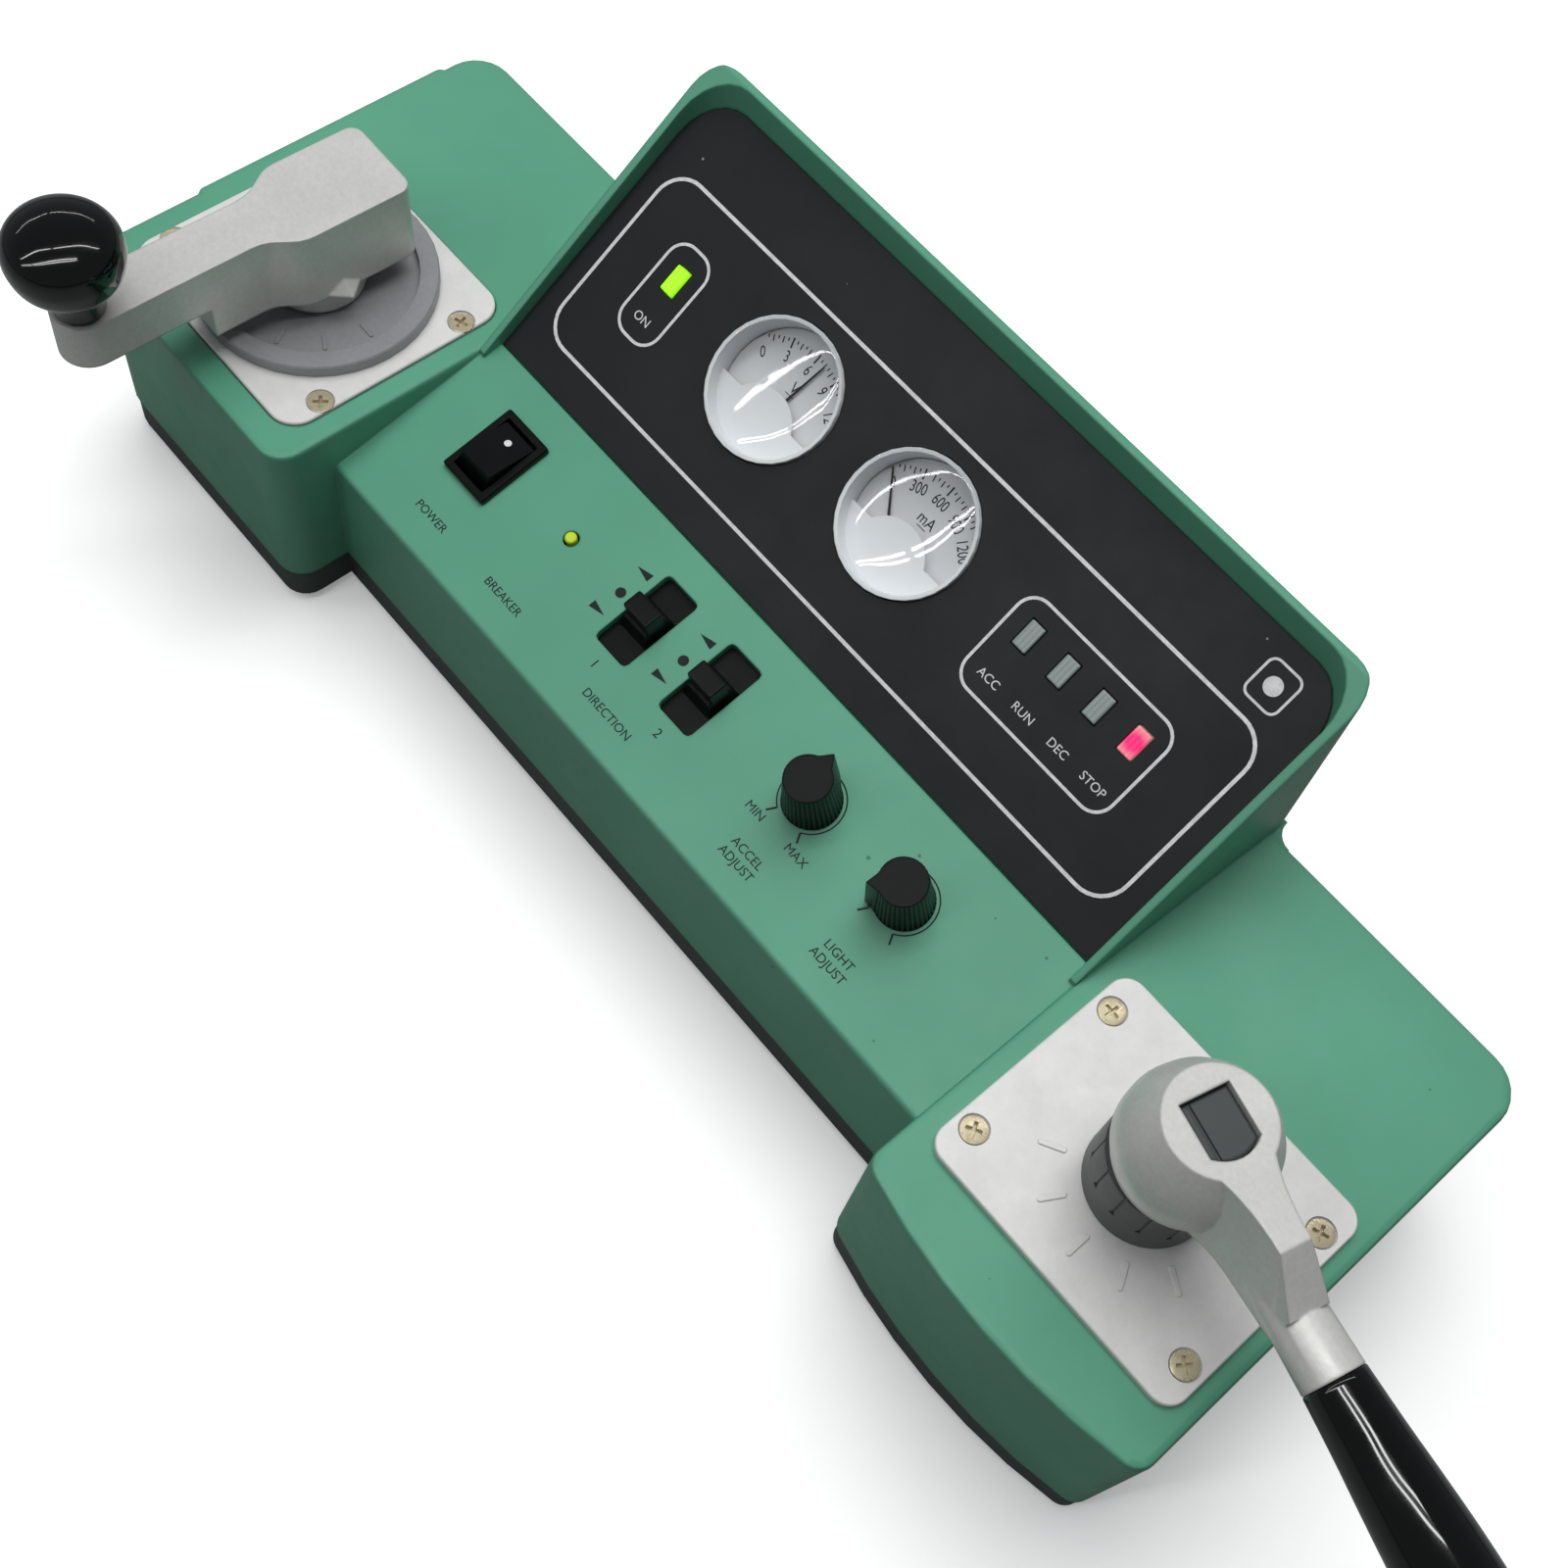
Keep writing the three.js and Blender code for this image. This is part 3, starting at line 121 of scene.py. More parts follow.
SWITCH_UP = -20.2  # line through the middles of the controls
DOT_ASIDE = 9.7  # dot beside a slot, from the slot's middle
DOT_RADIUS = 1.35
SLOT_ARROWS = [  # corners beside a slot: x from the slot's middle, and place up the panel
    [(-12.2, -12.9), (-7.7, -13.9), (-7.7, -11.7)],
    [(-12.3, -27.9), (-7.9, -26.8), (-12.3, -25.8)],
]
SLOT_NUMBER_UP = -36.1
SLOT_NUMBER_SIZE = 3.4
DIAL_ARC_RADIUS = 8.0  # printed arc round an adjuster
DIAL_ARC_GAP = 30  # degrees each way from straight down that the arc leaves open
DIAL_ARC_WIDTH = 0.35
DIAL_TICK_END = 10.6
DIAL_TICK_WIDTH = 0.5
ROCKER_DOT_RADIUS = 0.95
ROCKER_DOT_ALONG = 0.72  # share of the paddle's length, from the front
PADDLE_LEAST = 8  # each half of the rocker is longer than this

FLUTES = 36  # round an adjuster's knob
FLUTE_DEPTH = 0.5
FLUTE_STEPS = 8  # points to each flute
BEAK_FOOT = 8.8  # reach of an adjuster's beak at its foot and at its top
BEAK_TIP = 8.0
BEAK_HALF_ANGLE = 0.44

LABEL_SIZE = 3.1
SLOPE_LABELS = [
    ("POWER", -78.9, -41.5),
    ("BREAKER", -50.8, -41.6),
    ("DIRECTION", -11.4, -41.9),
    ("ACCEL", 35.6, -39.2),
    ("ADJUST", 35.6, -42.6),
    ("LIGHT", 66.8, -39.2),
    ("ADJUST", 66.8, -42.6),
    ("MIN", 29.2, -31.4),
    ("MAX", 43.3, -31.5),
]
PANEL_FRAMES = [  # x from, x to, up from, up to, corner radius, line width
    (-98, 98, 10.2, 61, 8, 0.9),  # round the whole panel
    (-85.3, -72.5, 23.7, 49.8, 5, 0.75),  # power lamp
    (36.9, 83.4, 23.1, 49.2, 5, 0.75),  # status lamps
]
BADGE_FRAME = (85, 94, 65, 75, 2, 0.6)
BADGE_DISC = (89.5, 70, 2.2)  # x, up, radius
POWER_LABEL = ("ON", -79.2, 29.0, 3.2)  # words, x, up, size
LAMP_LABELS = ["ACC", "RUN", "DEC", "STOP"]
LAMP_LABEL_UP = 28.1
LAMP_LABEL_SIZE = 3.0


def rgb(red, green, blue):
    """Screen colour 0..255 to the linear colour the renderer wants."""
    return tuple((c / 255) ** 2.2 for c in (red, green, blue))


# ------------------------------------------------------------------ materials


class Tree:
    """Short way to build a node material."""

    def __init__(self, name):
        self.material = bpy.data.materials.new(name)
        self.material.use_nodes = True
        self.nodes = self.material.node_tree.nodes
        self.links = self.material.node_tree.links
        self.nodes.clear()
        self.output = self.nodes.new("ShaderNodeOutputMaterial")
        self.place = self.nodes.new("ShaderNodeTexCoord").outputs["Object"]

    def add(self, kind, out=0, settings=None, **inputs):
        """Adds a node; inputs are values or sockets, named as in the editor with _ for spaces."""
        node = self.nodes.new(kind)
        for key, value in (settings or {}).items():
            setattr(node, key, value)
        for key, value in inputs.items():
            socket = node.inputs[int(key[1:]) if key[1:].isdigit() else key.replace("_", " ")]
            if isinstance(value, bpy.types.NodeSocket):
                self.links.new(value, socket)
            elif isinstance(value, tuple) and len(value) == 3 and socket.type == "RGBA":
                socket.default_value = (*value, 1)
            else:
                socket.default_value = value
        return node.outputs[out]

    def noise(self, scale, detail=3, rough=0.5, place=None):
        where = place or self.place
        return self.add("ShaderNodeTexNoise", Vector=where, Scale=scale, Detail=detail, Roughness=rough)

    def calc(self, operation, first, second):
        """Sum on two values."""
        return self.add("ShaderNodeMath", settings={"operation": operation}, _0=first, _1=second)

    def vector(self, operation, first, second, out=0):
        """Sum on two places or directions."""
        return self.add("ShaderNodeVectorMath", out, {"operation": operation}, _0=first, _1=second)

    def span(self, value, low, high, to_low=0.0, to_high=1.0):
        """Rescales a value; it is held inside the new limits."""
        return self.add(
            "ShaderNodeMapRange",
            Value=value,
            From_Min=low,
            From_Max=high,
            To_Min=to_low,
            To_Max=to_high,
        )

    def toned(self, colour, shade):
        """Colour made lighter and darker by a value round 1."""
        grey = self.add("ShaderNodeCombineColor", Red=shade, Green=shade, Blue=shade)
        return self.mix(1.0, colour, grey, "MULTIPLY")

    def mix(self, factor, first, second, blend="MIX"):
        settings = {"data_type": "RGBA", "blend_type": blend}
        return self.add("ShaderNodeMix", out=2, settings=settings, _0=factor, _6=first, _7=second)

    def rounded(self, height, strength, distance, radius=EDGE_ROUND):
        """Surface normal with soft edges and a fine texture."""
        soft = self.add("ShaderNodeBevel", settings={"samples": 6}, Radius=radius)
        return self.add("ShaderNodeBump", Strength=strength, Distance=distance, Height=height, Normal=soft)

    def finish(self, surface):
        self.links.new(surface, self.output.inputs["Surface"])
        return self.material

    def principled(self, **inputs):
        """Ends the material with the general surface node."""
        return self.finish(self.add("ShaderNodeBsdfPrincipled", **inputs))


PALE_DUST = (0.75, 0.78, 0.76)
DARK_SPECK = (0.01, 0.03, 0.02)


def plastic(
    name,
    colour,
    roughness,
    grain=1400,
    bump=0.12,
    variation=0.08,
    specks=0.0,
    coat=0.0,
    radius=EDGE_ROUND,
    shine=0.5,
):
    """Moulded plastic: slow colour drift, fine grain, optional dark specks or (below zero) pale dust."""
    tree = Tree(name)
    drift = tree.span(tree.noise(14, 4), 0.3, 0.7, 1 - variation, 1 + variation)
    base = tree.toned(colour, drift)
    if specks:
        dots = tree.add("ShaderNodeTexVoronoi", Vector=tree.place, Scale=170.0)
        size = tree.span(tree.noise(60, 1), 0.5, 0.75, 0.0, 0.09)
        strength = tree.calc("MULTIPLY", tree.calc("LESS_THAN", dots, size), abs(specks))
        base = tree.mix(strength, base, PALE_DUST if specks < 0 else DARK_SPECK)
    return tree.principled(
        Base_Color=base,
        Roughness=tree.span(tree.noise(38, 6, 0.7), 0.35, 0.75, roughness - 0.07, roughness + 0.1),
        Normal=tree.rounded(tree.noise(grain, 2), bump, 0.0002, radius),
        Specular_IOR_Level=shine,
        Coat_Weight=coat,
        Coat_Roughness=0.03,
    )


def cast_metal(name, colour, roughness, radius=0.0009):
    """Satin die casting: soft edges, faint mottling and fine speckle."""
    tree = Tree(name)
    drift = tree.span(tree.noise(45, 5, 0.6), 0.3, 0.7, 0.93, 1.05)
    speckle = tree.span(tree.noise(900, 4, 0.7), 0.3, 0.7, 0.93, 1.05)
    return tree.principled(
        Base_Color=tree.toned(tree.toned(colour, drift), speckle),
        Metallic=0.25,
        Roughness=tree.span(tree.noise(120, 4), 0.3, 0.7, roughness - 0.05, roughness + 0.06),
        Normal=tree.rounded(tree.noise(900, 3, 0.6), 0.16, 0.0002, radius),
    )


def brushed_metal(name, colour, roughness, stretch=(9, 1, 1), metallic=0.2):
    """Sheet metal with a faint one-way grain."""
    tree = Tree(name)
    lines = tree.noise(420.0, 3.0, 0.6, tree.vector("MULTIPLY", tree.place, stretch))
    cloud = tree.span(tree.noise(60, 8, 0.75), 0.3, 0.7, 0.88, 1.06)
    return tree.principled(
        Base_Color=tree.toned(colour, cloud),
        Metallic=metallic,
        Roughness=tree.span(lines, 0.3, 0.7, roughness - 0.05, roughness + 0.08),
        Normal=tree.rounded(lines, 0.06, 0.0001, 0.0001),
    )


def lamp_lens(name, colour, glow, hot_spot=None):
    """Ribbed indicator lens, lit from behind when glow is above zero; hot_spot is the bulb's place."""
    tree = Tree(name)
    ribs = tree.add("ShaderNodeTexWave", Vector=tree.place, Scale=260.0, Distortion=0.4)
    shade = tree.span(ribs, 0, 1, 0.86, 1.08)
    base = tree.toned(colour, shade)
    light = base
    if hot_spot:
        away = tree.vector("DISTANCE", tree.place, hot_spot, out="Value")
        near = tree.span(away, *HOT_SPOT, 1.0, 0.0)
        light = tree.mix(near, base, (1.6, 0.0, 0.2))
        base = tree.mix(near, base, (0.7, 0.01, 0.1))
    return tree.principled(
        Base_Color=base,
        Roughness=0.3,
        Emission_Color=light,
        Emission_Strength=glow,
        Normal=tree.rounded(ribs, 0.15, 0.0002, 0.0003),
    )


def dial_face(name):
    """Light grey scale plate, faintly clouded."""
    tree = Tree(name)
    cloud = tree.span(tree.noise(90, 3), 0.2, 0.8, 0.96, 1.03)
    return tree.principled(
        Base_Color=tree.toned(rgb(222, 223, 226), cloud),
        Roughness=0.55,
        Normal=tree.rounded(tree.noise(1500, 2), 0.05, 0.0001, 0.0002),
    )


def clear_dome(name):
    """Thin clear plastic: light goes straight through it, and its outside mirrors more at the rim."""
    tree = Tree(name)
    ripple = tree.add("ShaderNodeBump", Strength=0.03, Distance=0.0003, Height=tree.noise(180, 2))
    facing = tree.add("ShaderNodeLayerWeight", out="Facing", Blend=0.5, Normal=ripple)
    inside = tree.add("ShaderNodeNewGeometry", out="Backfacing")
    shadow = tree.add("ShaderNodeLightPath", out="Is Shadow Ray")
    share = tree.span(tree.calc("POWER", facing, 5.0), 0.0, 1.0, 0.05, 0.9)
    share = tree.calc("MULTIPLY", share, tree.calc("SUBTRACT", 1.0, inside))
    share = tree.calc("MULTIPLY", share, tree.calc("SUBTRACT", 1.0, shadow))
    tint = tree.mix(tree.span(facing, 0.62, 0.9), (0.98, 0.985, 0.985), (0.3, 0.34, 0.34))
    through = tree.add("ShaderNodeBsdfTransparent", Color=tint)
    mirror = tree.add("ShaderNodeBsdfGlossy", Color=(1.0, 1.0, 1.0), Roughness=0.04, Normal=ripple)
    return tree.finish(tree.add("ShaderNodeMixShader", Fac=share, _1=through, _2=mirror))


def ink(name, colour):
    """Screen-printed ink, slightly worn."""
    tree = Tree(name)
    wear = tree.span(tree.noise(700, 4, 0.7), 0.3, 0.62, 0.72, 1.0)
    grain = tree.noise(1200, 2)
    return tree.principled(
        Base_Color=tree.toned(colour, wear),
        Roughness=0.6,
        Normal=tree.add("ShaderNodeBump", Strength=0.1, Distance=0.0001, Height=grain),
    )


def plastic_slots():
    """Finished plastics and rubber, by material slot."""
    return {
        "case_green": plastic(
            "case_green", rgb(84, 149, 122), 0.4, bump=0.1, specks=0.6, variation=0.1, radius=0.001
        ),
        "tray_grey": plastic("tray_grey", rgb(62, 70, 68), 0.5, bump=0.2),
        "foot_rubber": plastic("foot_rubber", rgb(24, 24, 24), 0.85, grain=700, bump=0.4),
        "knob_black": plastic(
            "knob_black", rgb(5, 6, 7), 0.12, grain=300, bump=0.02, coat=0.9, radius=0.0005, shine=0.2
        ),
        "collar_grey": plastic("collar_grey", rgb(68, 72, 73), 0.45, bump=0.15, radius=0.0005),
        "panel_black": plastic(
            "panel_black", rgb(32, 35, 36), 0.5, grain=900, bump=0.08, specks=-0.35, radius=0.0003, shine=0.3
        ),
        "switch_black": plastic("switch_black", rgb(17, 20, 20), 0.38, grain=1000, radius=0.0004, shine=0.22),
        "button_yellow": plastic("button_yellow", rgb(194, 212, 46), 0.35, bump=0.05, radius=0.0004),
        "board_green": plastic("board_green", rgb(44, 104, 62), 0.35, bump=0.1),
        "socket_ivory": plastic("socket_ivory", rgb(214, 210, 198), 0.45, bump=0.1),
    }


def metal_slots():
    """Finished metals, by material slot."""
    return {
        "plate_metal": brushed_metal("plate_metal", rgb(222, 222, 220), 0.4),
        "dial_metal": cast_metal("dial_metal", rgb(146, 146, 149), 0.4, radius=0.0001),
        "handle_metal": cast_metal("handle_metal", rgb(206, 206, 202), 0.34),
        "screw_metal": brushed_metal("screw_metal", rgb(212, 200, 168), 0.28, (1, 1, 1), 0.6),
        "shaft_steel": brushed_metal("shaft_steel", rgb(176, 176, 176), 0.3, (1, 1, 9)),
        "can_metal": brushed_metal("can_metal", rgb(160, 162, 164), 0.35),
    }


def meter_and_lamp_slots():
    """Finished meter parts and lamp lenses, by material slot."""
    slots = frame["record"]["subparts"]
    bulb = lamp_face(next(row["node"] for row in slots if row["material_slot"] == "lamp_red"))
    return {
        "meter_white": plastic("meter_white", rgb(226, 228, 231), 0.4, bump=0.05, radius=0.0003),
        "dial_white": dial_face("dial_white"),
        "lens_clear": clear_dome("lens_clear"),
        "needle_black": plastic("needle_black", rgb(18, 18, 19), 0.5, radius=0.0001),
        "lamp_green": lamp_lens("lamp_green", rgb(142, 236, 30), 0.9),
        "lamp_grey": lamp_lens("lamp_grey", rgb(134, 145, 142), 0.0),
        "lamp_red": lamp_lens("lamp_red", rgb(205, 128, 132), 0.55, hot_spot=bulb),
    }


# ------------------------------------------------------------------ shading of the CAD nodes


def smoothing_group():
    """Merges the facets' loose corners and shades shallow bends as curves."""
    group = bpy.data.node_groups.new("smooth_by_angle", "GeometryNodeTree")
    group.interface.new_socket("Geometry", in_out="INPUT", socket_type="NodeSocketGeometry")
    group.interface.new_socket("Geometry", in_out="OUTPUT", socket_type="NodeSocketGeometry")
    nodes, links = group.nodes, group.links
    start = nodes.new("NodeGroupInput")
    merge = nodes.new("GeometryNodeMergeByDistance")
    merge.inputs["Distance"].default_value = MERGE_DISTANCE
    faces = nodes.new("GeometryNodeSetShadeSmooth")
    edges = nodes.new("GeometryNodeSetShadeSmooth")
    edges.domain = "EDGE"
    angle = nodes.new("GeometryNodeInputMeshEdgeAngle")
    shallow = nodes.new("FunctionNodeCompare")
    shallow.operation = "LESS_THAN"
    shallow.inputs["B"].default_value = math.radians(SMOOTH_LIMIT)
    end = nodes.new("NodeGroupOutput")
    links.new(start.outputs[0], merge.inputs["Geometry"])
    links.new(merge.outputs["Geometry"], faces.inputs["Geometry"])
    links.new(faces.outputs["Geometry"], edges.inputs["Geometry"])
    links.new(angle.outputs["Unsigned Angle"], shallow.inputs["A"])
    links.new(shallow.outputs["Result"], edges.inputs["Shade Smooth"])
    links.new(edges.outputs["Geometry"], end.inputs[0])
    return group


def soften(obj, group):
    """Curved shading on a faceted CAD node; its vertices stay as they are."""
    if "custom_normal" in obj.data.attributes:
        obj.data.attributes.remove(obj.data.attributes["custom_normal"])
    smooth = obj.modifiers.new("smooth", "NODES")
    smooth.node_group = group
    weigh = obj.modifiers.new("weigh", "WEIGHTED_NORMAL")
    weigh.keep_sharp = True


def paint(obj, material):
    obj.data.materials.clear()
    obj.data.materials.append(material)


# ------------------------------------------------------------------ frames and simple geometry


def joint(name):
    """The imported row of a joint."""
    return next(row for row in frame["joints"] if row["name"] == name)


def panel_frame(mark):
    """Matrix from panel millimetres to the row frame, from a joint standing square on the panel."""
    row = joint(mark["joint"])
    out = Vector(row["axis"]).normalized()
    right = Vector((1, 0, 0))
    up = out.cross(right)
    columns = Matrix((right * MM, up * MM, out * MM)).transposed().to_4x4()
    columns.translation = Vector(row["pos_m"]) - (right * mark["x"] + up * mark["up"]) * MM
    return columns


def lamp_face(node):
    """Middle of a lamp's outer face, in the row frame."""
    tilt = panel_frame(TILT_MARK)
    corners = [tilt.inverted() @ v.co for v in frame["nodes"][node].data.vertices]
    x, up = ((min(p[i] for p in corners) + max(p[i] for p in corners)) / 2 for i in (0, 1))
    return tuple(tilt @ Vector((x, up, max(p.z for p in corners))))


def centre(node):
    low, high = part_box(node)
    return (low + high) / 2


def across(node):
    """A node's middle on both panels' x axis, in millimetres."""
    return centre(node).x / MM


def upright_frame(point):
    """Matrix from millimetres to the row frame, standing upright over a point."""
    return Matrix.Translation(point) @ Matrix.Scale(MM, 4)


def new_piece(name, points, faces, matrix, material, body, smooth=False):
    """Mesh from millimetre points, placed by a frame and riding on a body."""
    mesh = bpy.data.meshes.new(name)
    mesh.from_pydata([matrix @ Vector(p) for p in points], [], faces)
    mesh.update()
    if smooth:
        mesh.shade_smooth()
    obj = bpy.data.objects.new(name, mesh)
    bpy.context.scene.collection.objects.link(obj)
    mesh.materials.append(material)
    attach(obj, body)
    return obj


def smooth_line(points, steps=6):
    """Catmull-Rom curve through 2-D points."""
    line = []
    for i in range(len(points) - 1):
        p0 = points[max(i - 1, 0)]
        p1, p2 = points[i], points[i + 1]
        p3 = points[min(i + 2, len(points) - 1)]
        for k in range(steps):
            t = k / steps
            line.append(tuple(catmull(p0[a], p1[a], p2[a], p3[a], t) for a in (0, 1)))
    line.append(tuple(points[-1]))
    return line


def catmull(a, b, c, d, t):
    """Value at t, from 0 at b to 1 at c, on the curve through a, b, c and d."""
    linear = (c - a) * t
    square = (2 * a - 5 * b + 4 * c - d) * t * t
    cube = (3 * b - a - 3 * c + d) * t**3
    return (2 * b + linear + square + cube) / 2


def revolve(profile, segments=96, bend=None):
    """Closed body of revolution about Z from (radius, height) pairs.

    bend(angle, radius, height) gives the radius to use where the body isn't round.
    """
    points, faces = [], []
    rings = []
    for radius, height in profile:
        if radius == 0:
            rings.append([len(points)])
            points.append((0, 0, height))
            continue
        ring = []
        for k in range(segments):
            angle = 2 * math.pi * k / segments
            r = bend(angle, radius, height) if bend else radius
            ring.append(len(points))
            points.append((r * math.cos(angle), r * math.sin(angle), height))
        rings.append(ring)
    for lower, upper in zip(rings, rings[1:]):
        for k in range(segments):
            n = (k + 1) % segments
            if len(lower) == 1:
                faces.append((lower[0], upper[n], upper[k]))
            elif len(upper) == 1:
                faces.append((lower[k], lower[n], upper[0]))
            else:
                faces.append((lower[k], lower[n], upper[n], upper[k]))
    return points, faces


# ------------------------------------------------------------------ printed marks


class Print:
    """Collects thin raised shapes in a panel's millimetres and makes them one piece."""

    def __init__(self, height=INK_LIFT_MM):
        self.points = []
        self.faces = []
        self.height = height

    def band(self, left, right, closed):
        """Closed strip between two matching lines; the right one lies clockwise of the left."""
        first = len(self.points)
        count = len(left)
        for line, lift in ((left, 0), (right, 0), (left, INK_THICK_MM), (right, INK_THICK_MM)):
            self.points += [(x, y, self.height - lift) for x, y in line]
        rows = [[first + row * count + i for i in range(count)] for row in range(4)]
        top_left, top_right, low_left, low_right = rows
        for i in range(count if closed else count - 1):
            n = (i + 1) % count
            self.faces.append((top_right[i], top_right[n], top_left[n], top_left[i]))
            self.faces.append((low_left[i], low_left[n], low_right[n], low_right[i]))
            self.faces.append((top_left[i], top_left[n], low_left[n], low_left[i]))
            self.faces.append((low_right[i], low_right[n], top_right[n], top_right[i]))
        if not closed:
            self.faces.append((top_right[0], top_left[0], low_left[0], low_right[0]))
            self.faces.append((top_left[-1], top_right[-1], low_right[-1], low_left[-1]))

    def polygon(self, corners):
        """Closed slab over an outline that runs anticlockwise."""
        first = len(self.points)
        count = len(corners)
        self.points += [(x, y, self.height) for x, y in corners]
        self.points += [(x, y, self.height - INK_THICK_MM) for x, y in corners]
        self.faces.append(tuple(range(first, first + count)))
        self.faces.append(tuple(reversed(range(first + count, first + 2 * count))))
        for i in range(count):
            n = (i + 1) % count
            self.faces.append((first + i, first + count + i, first + count + n, first + n))

    def disc(self, x, y, radius, sides=40):
        turns = [2 * math.pi * k / sides for k in range(sides)]
        self.polygon([(x + radius * math.cos(t), y + radius * math.sin(t)) for t in turns])

    def stroke(self, line, width, closed=False):
        """Band of even width along a line."""
        count = len(line)
        left, right = [], []
        for i, here in enumerate(line):
            before = line[i - 1] if (i > 0 or closed) else here
            after = line[(i + 1) % count] if (i < count - 1 or closed) else here
            a = Vector((here[0] - before[0], here[1] - before[1]))
            b = Vector((after[0] - here[0], after[1] - here[1]))
            a = a.normalized() if a.length else b.normalized()
            b = b.normalized() if b.length else a
            along = (a + b).normalized()
            side = Vector((-along.y, along.x)) * width / 2 / max(along.dot(a), 0.5)
            left.append((here[0] + side.x, here[1] + side.y))
            right.append((here[0] - side.x, here[1] - side.y))
        self.band(left, right, closed)

    def frame(self, x0, x1, y0, y1, radius, width):
        """Outline of a rounded rectangle."""
        line = []
        low_x, high_x = x0 + radius, x1 - radius
        low_y, high_y = y0 + radius, y1 - radius
        spots = [(high_x, high_y), (low_x, high_y), (low_x, low_y), (high_x, low_y)]
        for quarter, (cx, cy) in enumerate(spots):
            for k in range(9):
                angle = math.radians(90 * quarter + 90 * k / 8)
                line.append((cx + radius * math.cos(angle), cy + radius * math.sin(angle)))
        self.stroke(line, width, closed=True)

    def arc(self, x, y, radius, start, end, width, steps=60):
        angles = [math.radians(start + (end - start) * k / steps) for k in range(steps + 1)]
        self.stroke([(x + radius * math.cos(a), y + radius * math.sin(a)) for a in angles], width)

    def text(self, words, x, y, size, turn=0.0, narrow=1.0):
        """Plain lettering centred on a point; narrow squeezes it."""
        curve = bpy.data.curves.new("words", "FONT")
        curve.body = words
        curve.size = size
        curve.align_x = "CENTER"
        curve.align_y = "CENTER"
        curve.resolution_u = 4
        curve.extrude = INK_THICK_MM / 2
        carrier = bpy.data.objects.new("words", curve)
        bpy.context.scene.collection.objects.link(carrier)
        bpy.context.view_layer.update()
        mesh = carrier.to_mesh()
        spin = Matrix.Rotation(math.radians(turn), 2)
        first = len(self.points)
        for vertex in mesh.vertices:
            spot = spin @ Vector((vertex.co.x * narrow, vertex.co.y))
            self.points.append((x + spot.x, y + spot.y, self.height - INK_THICK_MM / 2 + vertex.co.z))
        self.faces += [tuple(first + v for v in face.vertices) for face in mesh.polygons]
        carrier.to_mesh_clear()
        bpy.data.objects.remove(carrier)

    def build(self, name, matrix, material, body=CASE):
        return new_piece(name, self.points, self.faces, matrix, material, body)


def slope_print(black):
    """Black legends of the sloping switch panel."""
    slope = panel_frame(SLOPE_MARK)
    legend = Print()
    for number in (1, 2):
        x = across(f"direction_switch_{number}_body")
        legend.disc(x - DOT_ASIDE, SWITCH_UP, DOT_RADIUS)
        for arrow in SLOT_ARROWS:
            legend.polygon([(x + aside, up) for aside, up in arrow])
        legend.text(str(number), x, SLOT_NUMBER_UP, SLOT_NUMBER_SIZE)
    for words, x, up in SLOPE_LABELS:
        legend.text(words, x, up, LABEL_SIZE)
    for number in (1, 2):
        x = joint(f"adjuster_{number}_turn")["pos_m"][0] / MM
        legend.arc(x, SWITCH_UP, DIAL_ARC_RADIUS, -90 + DIAL_ARC_GAP, 270 - DIAL_ARC_GAP, DIAL_ARC_WIDTH)
        for side in (-1, 1):
            angle = math.radians(-90 + side * DIAL_ARC_GAP)
            reach = (DIAL_ARC_RADIUS, DIAL_TICK_END)
            ends = [(x + r * math.cos(angle), SWITCH_UP + r * math.sin(angle)) for r in reach]
            legend.stroke(ends, DIAL_TICK_WIDTH)
    legend.build("slope_legend", slope, black)


def rocker_dot(white):
    """White index dot on the rear half of the rocker's paddle."""
    slope = panel_frame(SLOPE_MARK)
    inverse = slope.inverted()
    corners = [inverse @ v.co for v in frame["nodes"]["power_rocker"].data.vertices]
    highest = max(corners, key=lambda p: p.z)
    rear_edge = max((p for p in corners if p.y > highest.y + PADDLE_LEAST), key=lambda p: p.z)
    front_edge = max((p for p in corners if p.y < rear_edge.y - PADDLE_LEAST), key=lambda p: p.z)
    middle_x = (min(p.x for p in corners) + max(p.x for p in corners)) / 2
    run = rear_edge - front_edge
    run.x = 0
    spot = front_edge + run * ROCKER_DOT_ALONG
    along = run.normalized()
    out = Vector((1, 0, 0)).cross(along)
    stand = Matrix((Vector((1, 0, 0)), along, out)).transposed().to_4x4()
    stand.translation = Vector((middle_x, spot.y, spot.z))
    dot = Print()
    dot.disc(0, 0, ROCKER_DOT_RADIUS)
    dot.build("rocker_dot", slope @ stand, white, "rocker")


def panel_print(white):
    """White lines and labels of the instrument panel, with a plain badge."""
    tilt = panel_frame(TILT_MARK)
    lines = Print()
    for outline in PANEL_FRAMES:
        lines.frame(*outline)
    lines.text(*POWER_LABEL)
    for index, words in enumerate(LAMP_LABELS):
        lines.text(words, across(f"status_lamp_{index + 1}"), LAMP_LABEL_UP, LAMP_LABEL_SIZE)
    lines.frame(*BADGE_FRAME)
    lines.disc(*BADGE_DISC)
    lines.build("panel_lines", tilt, white)


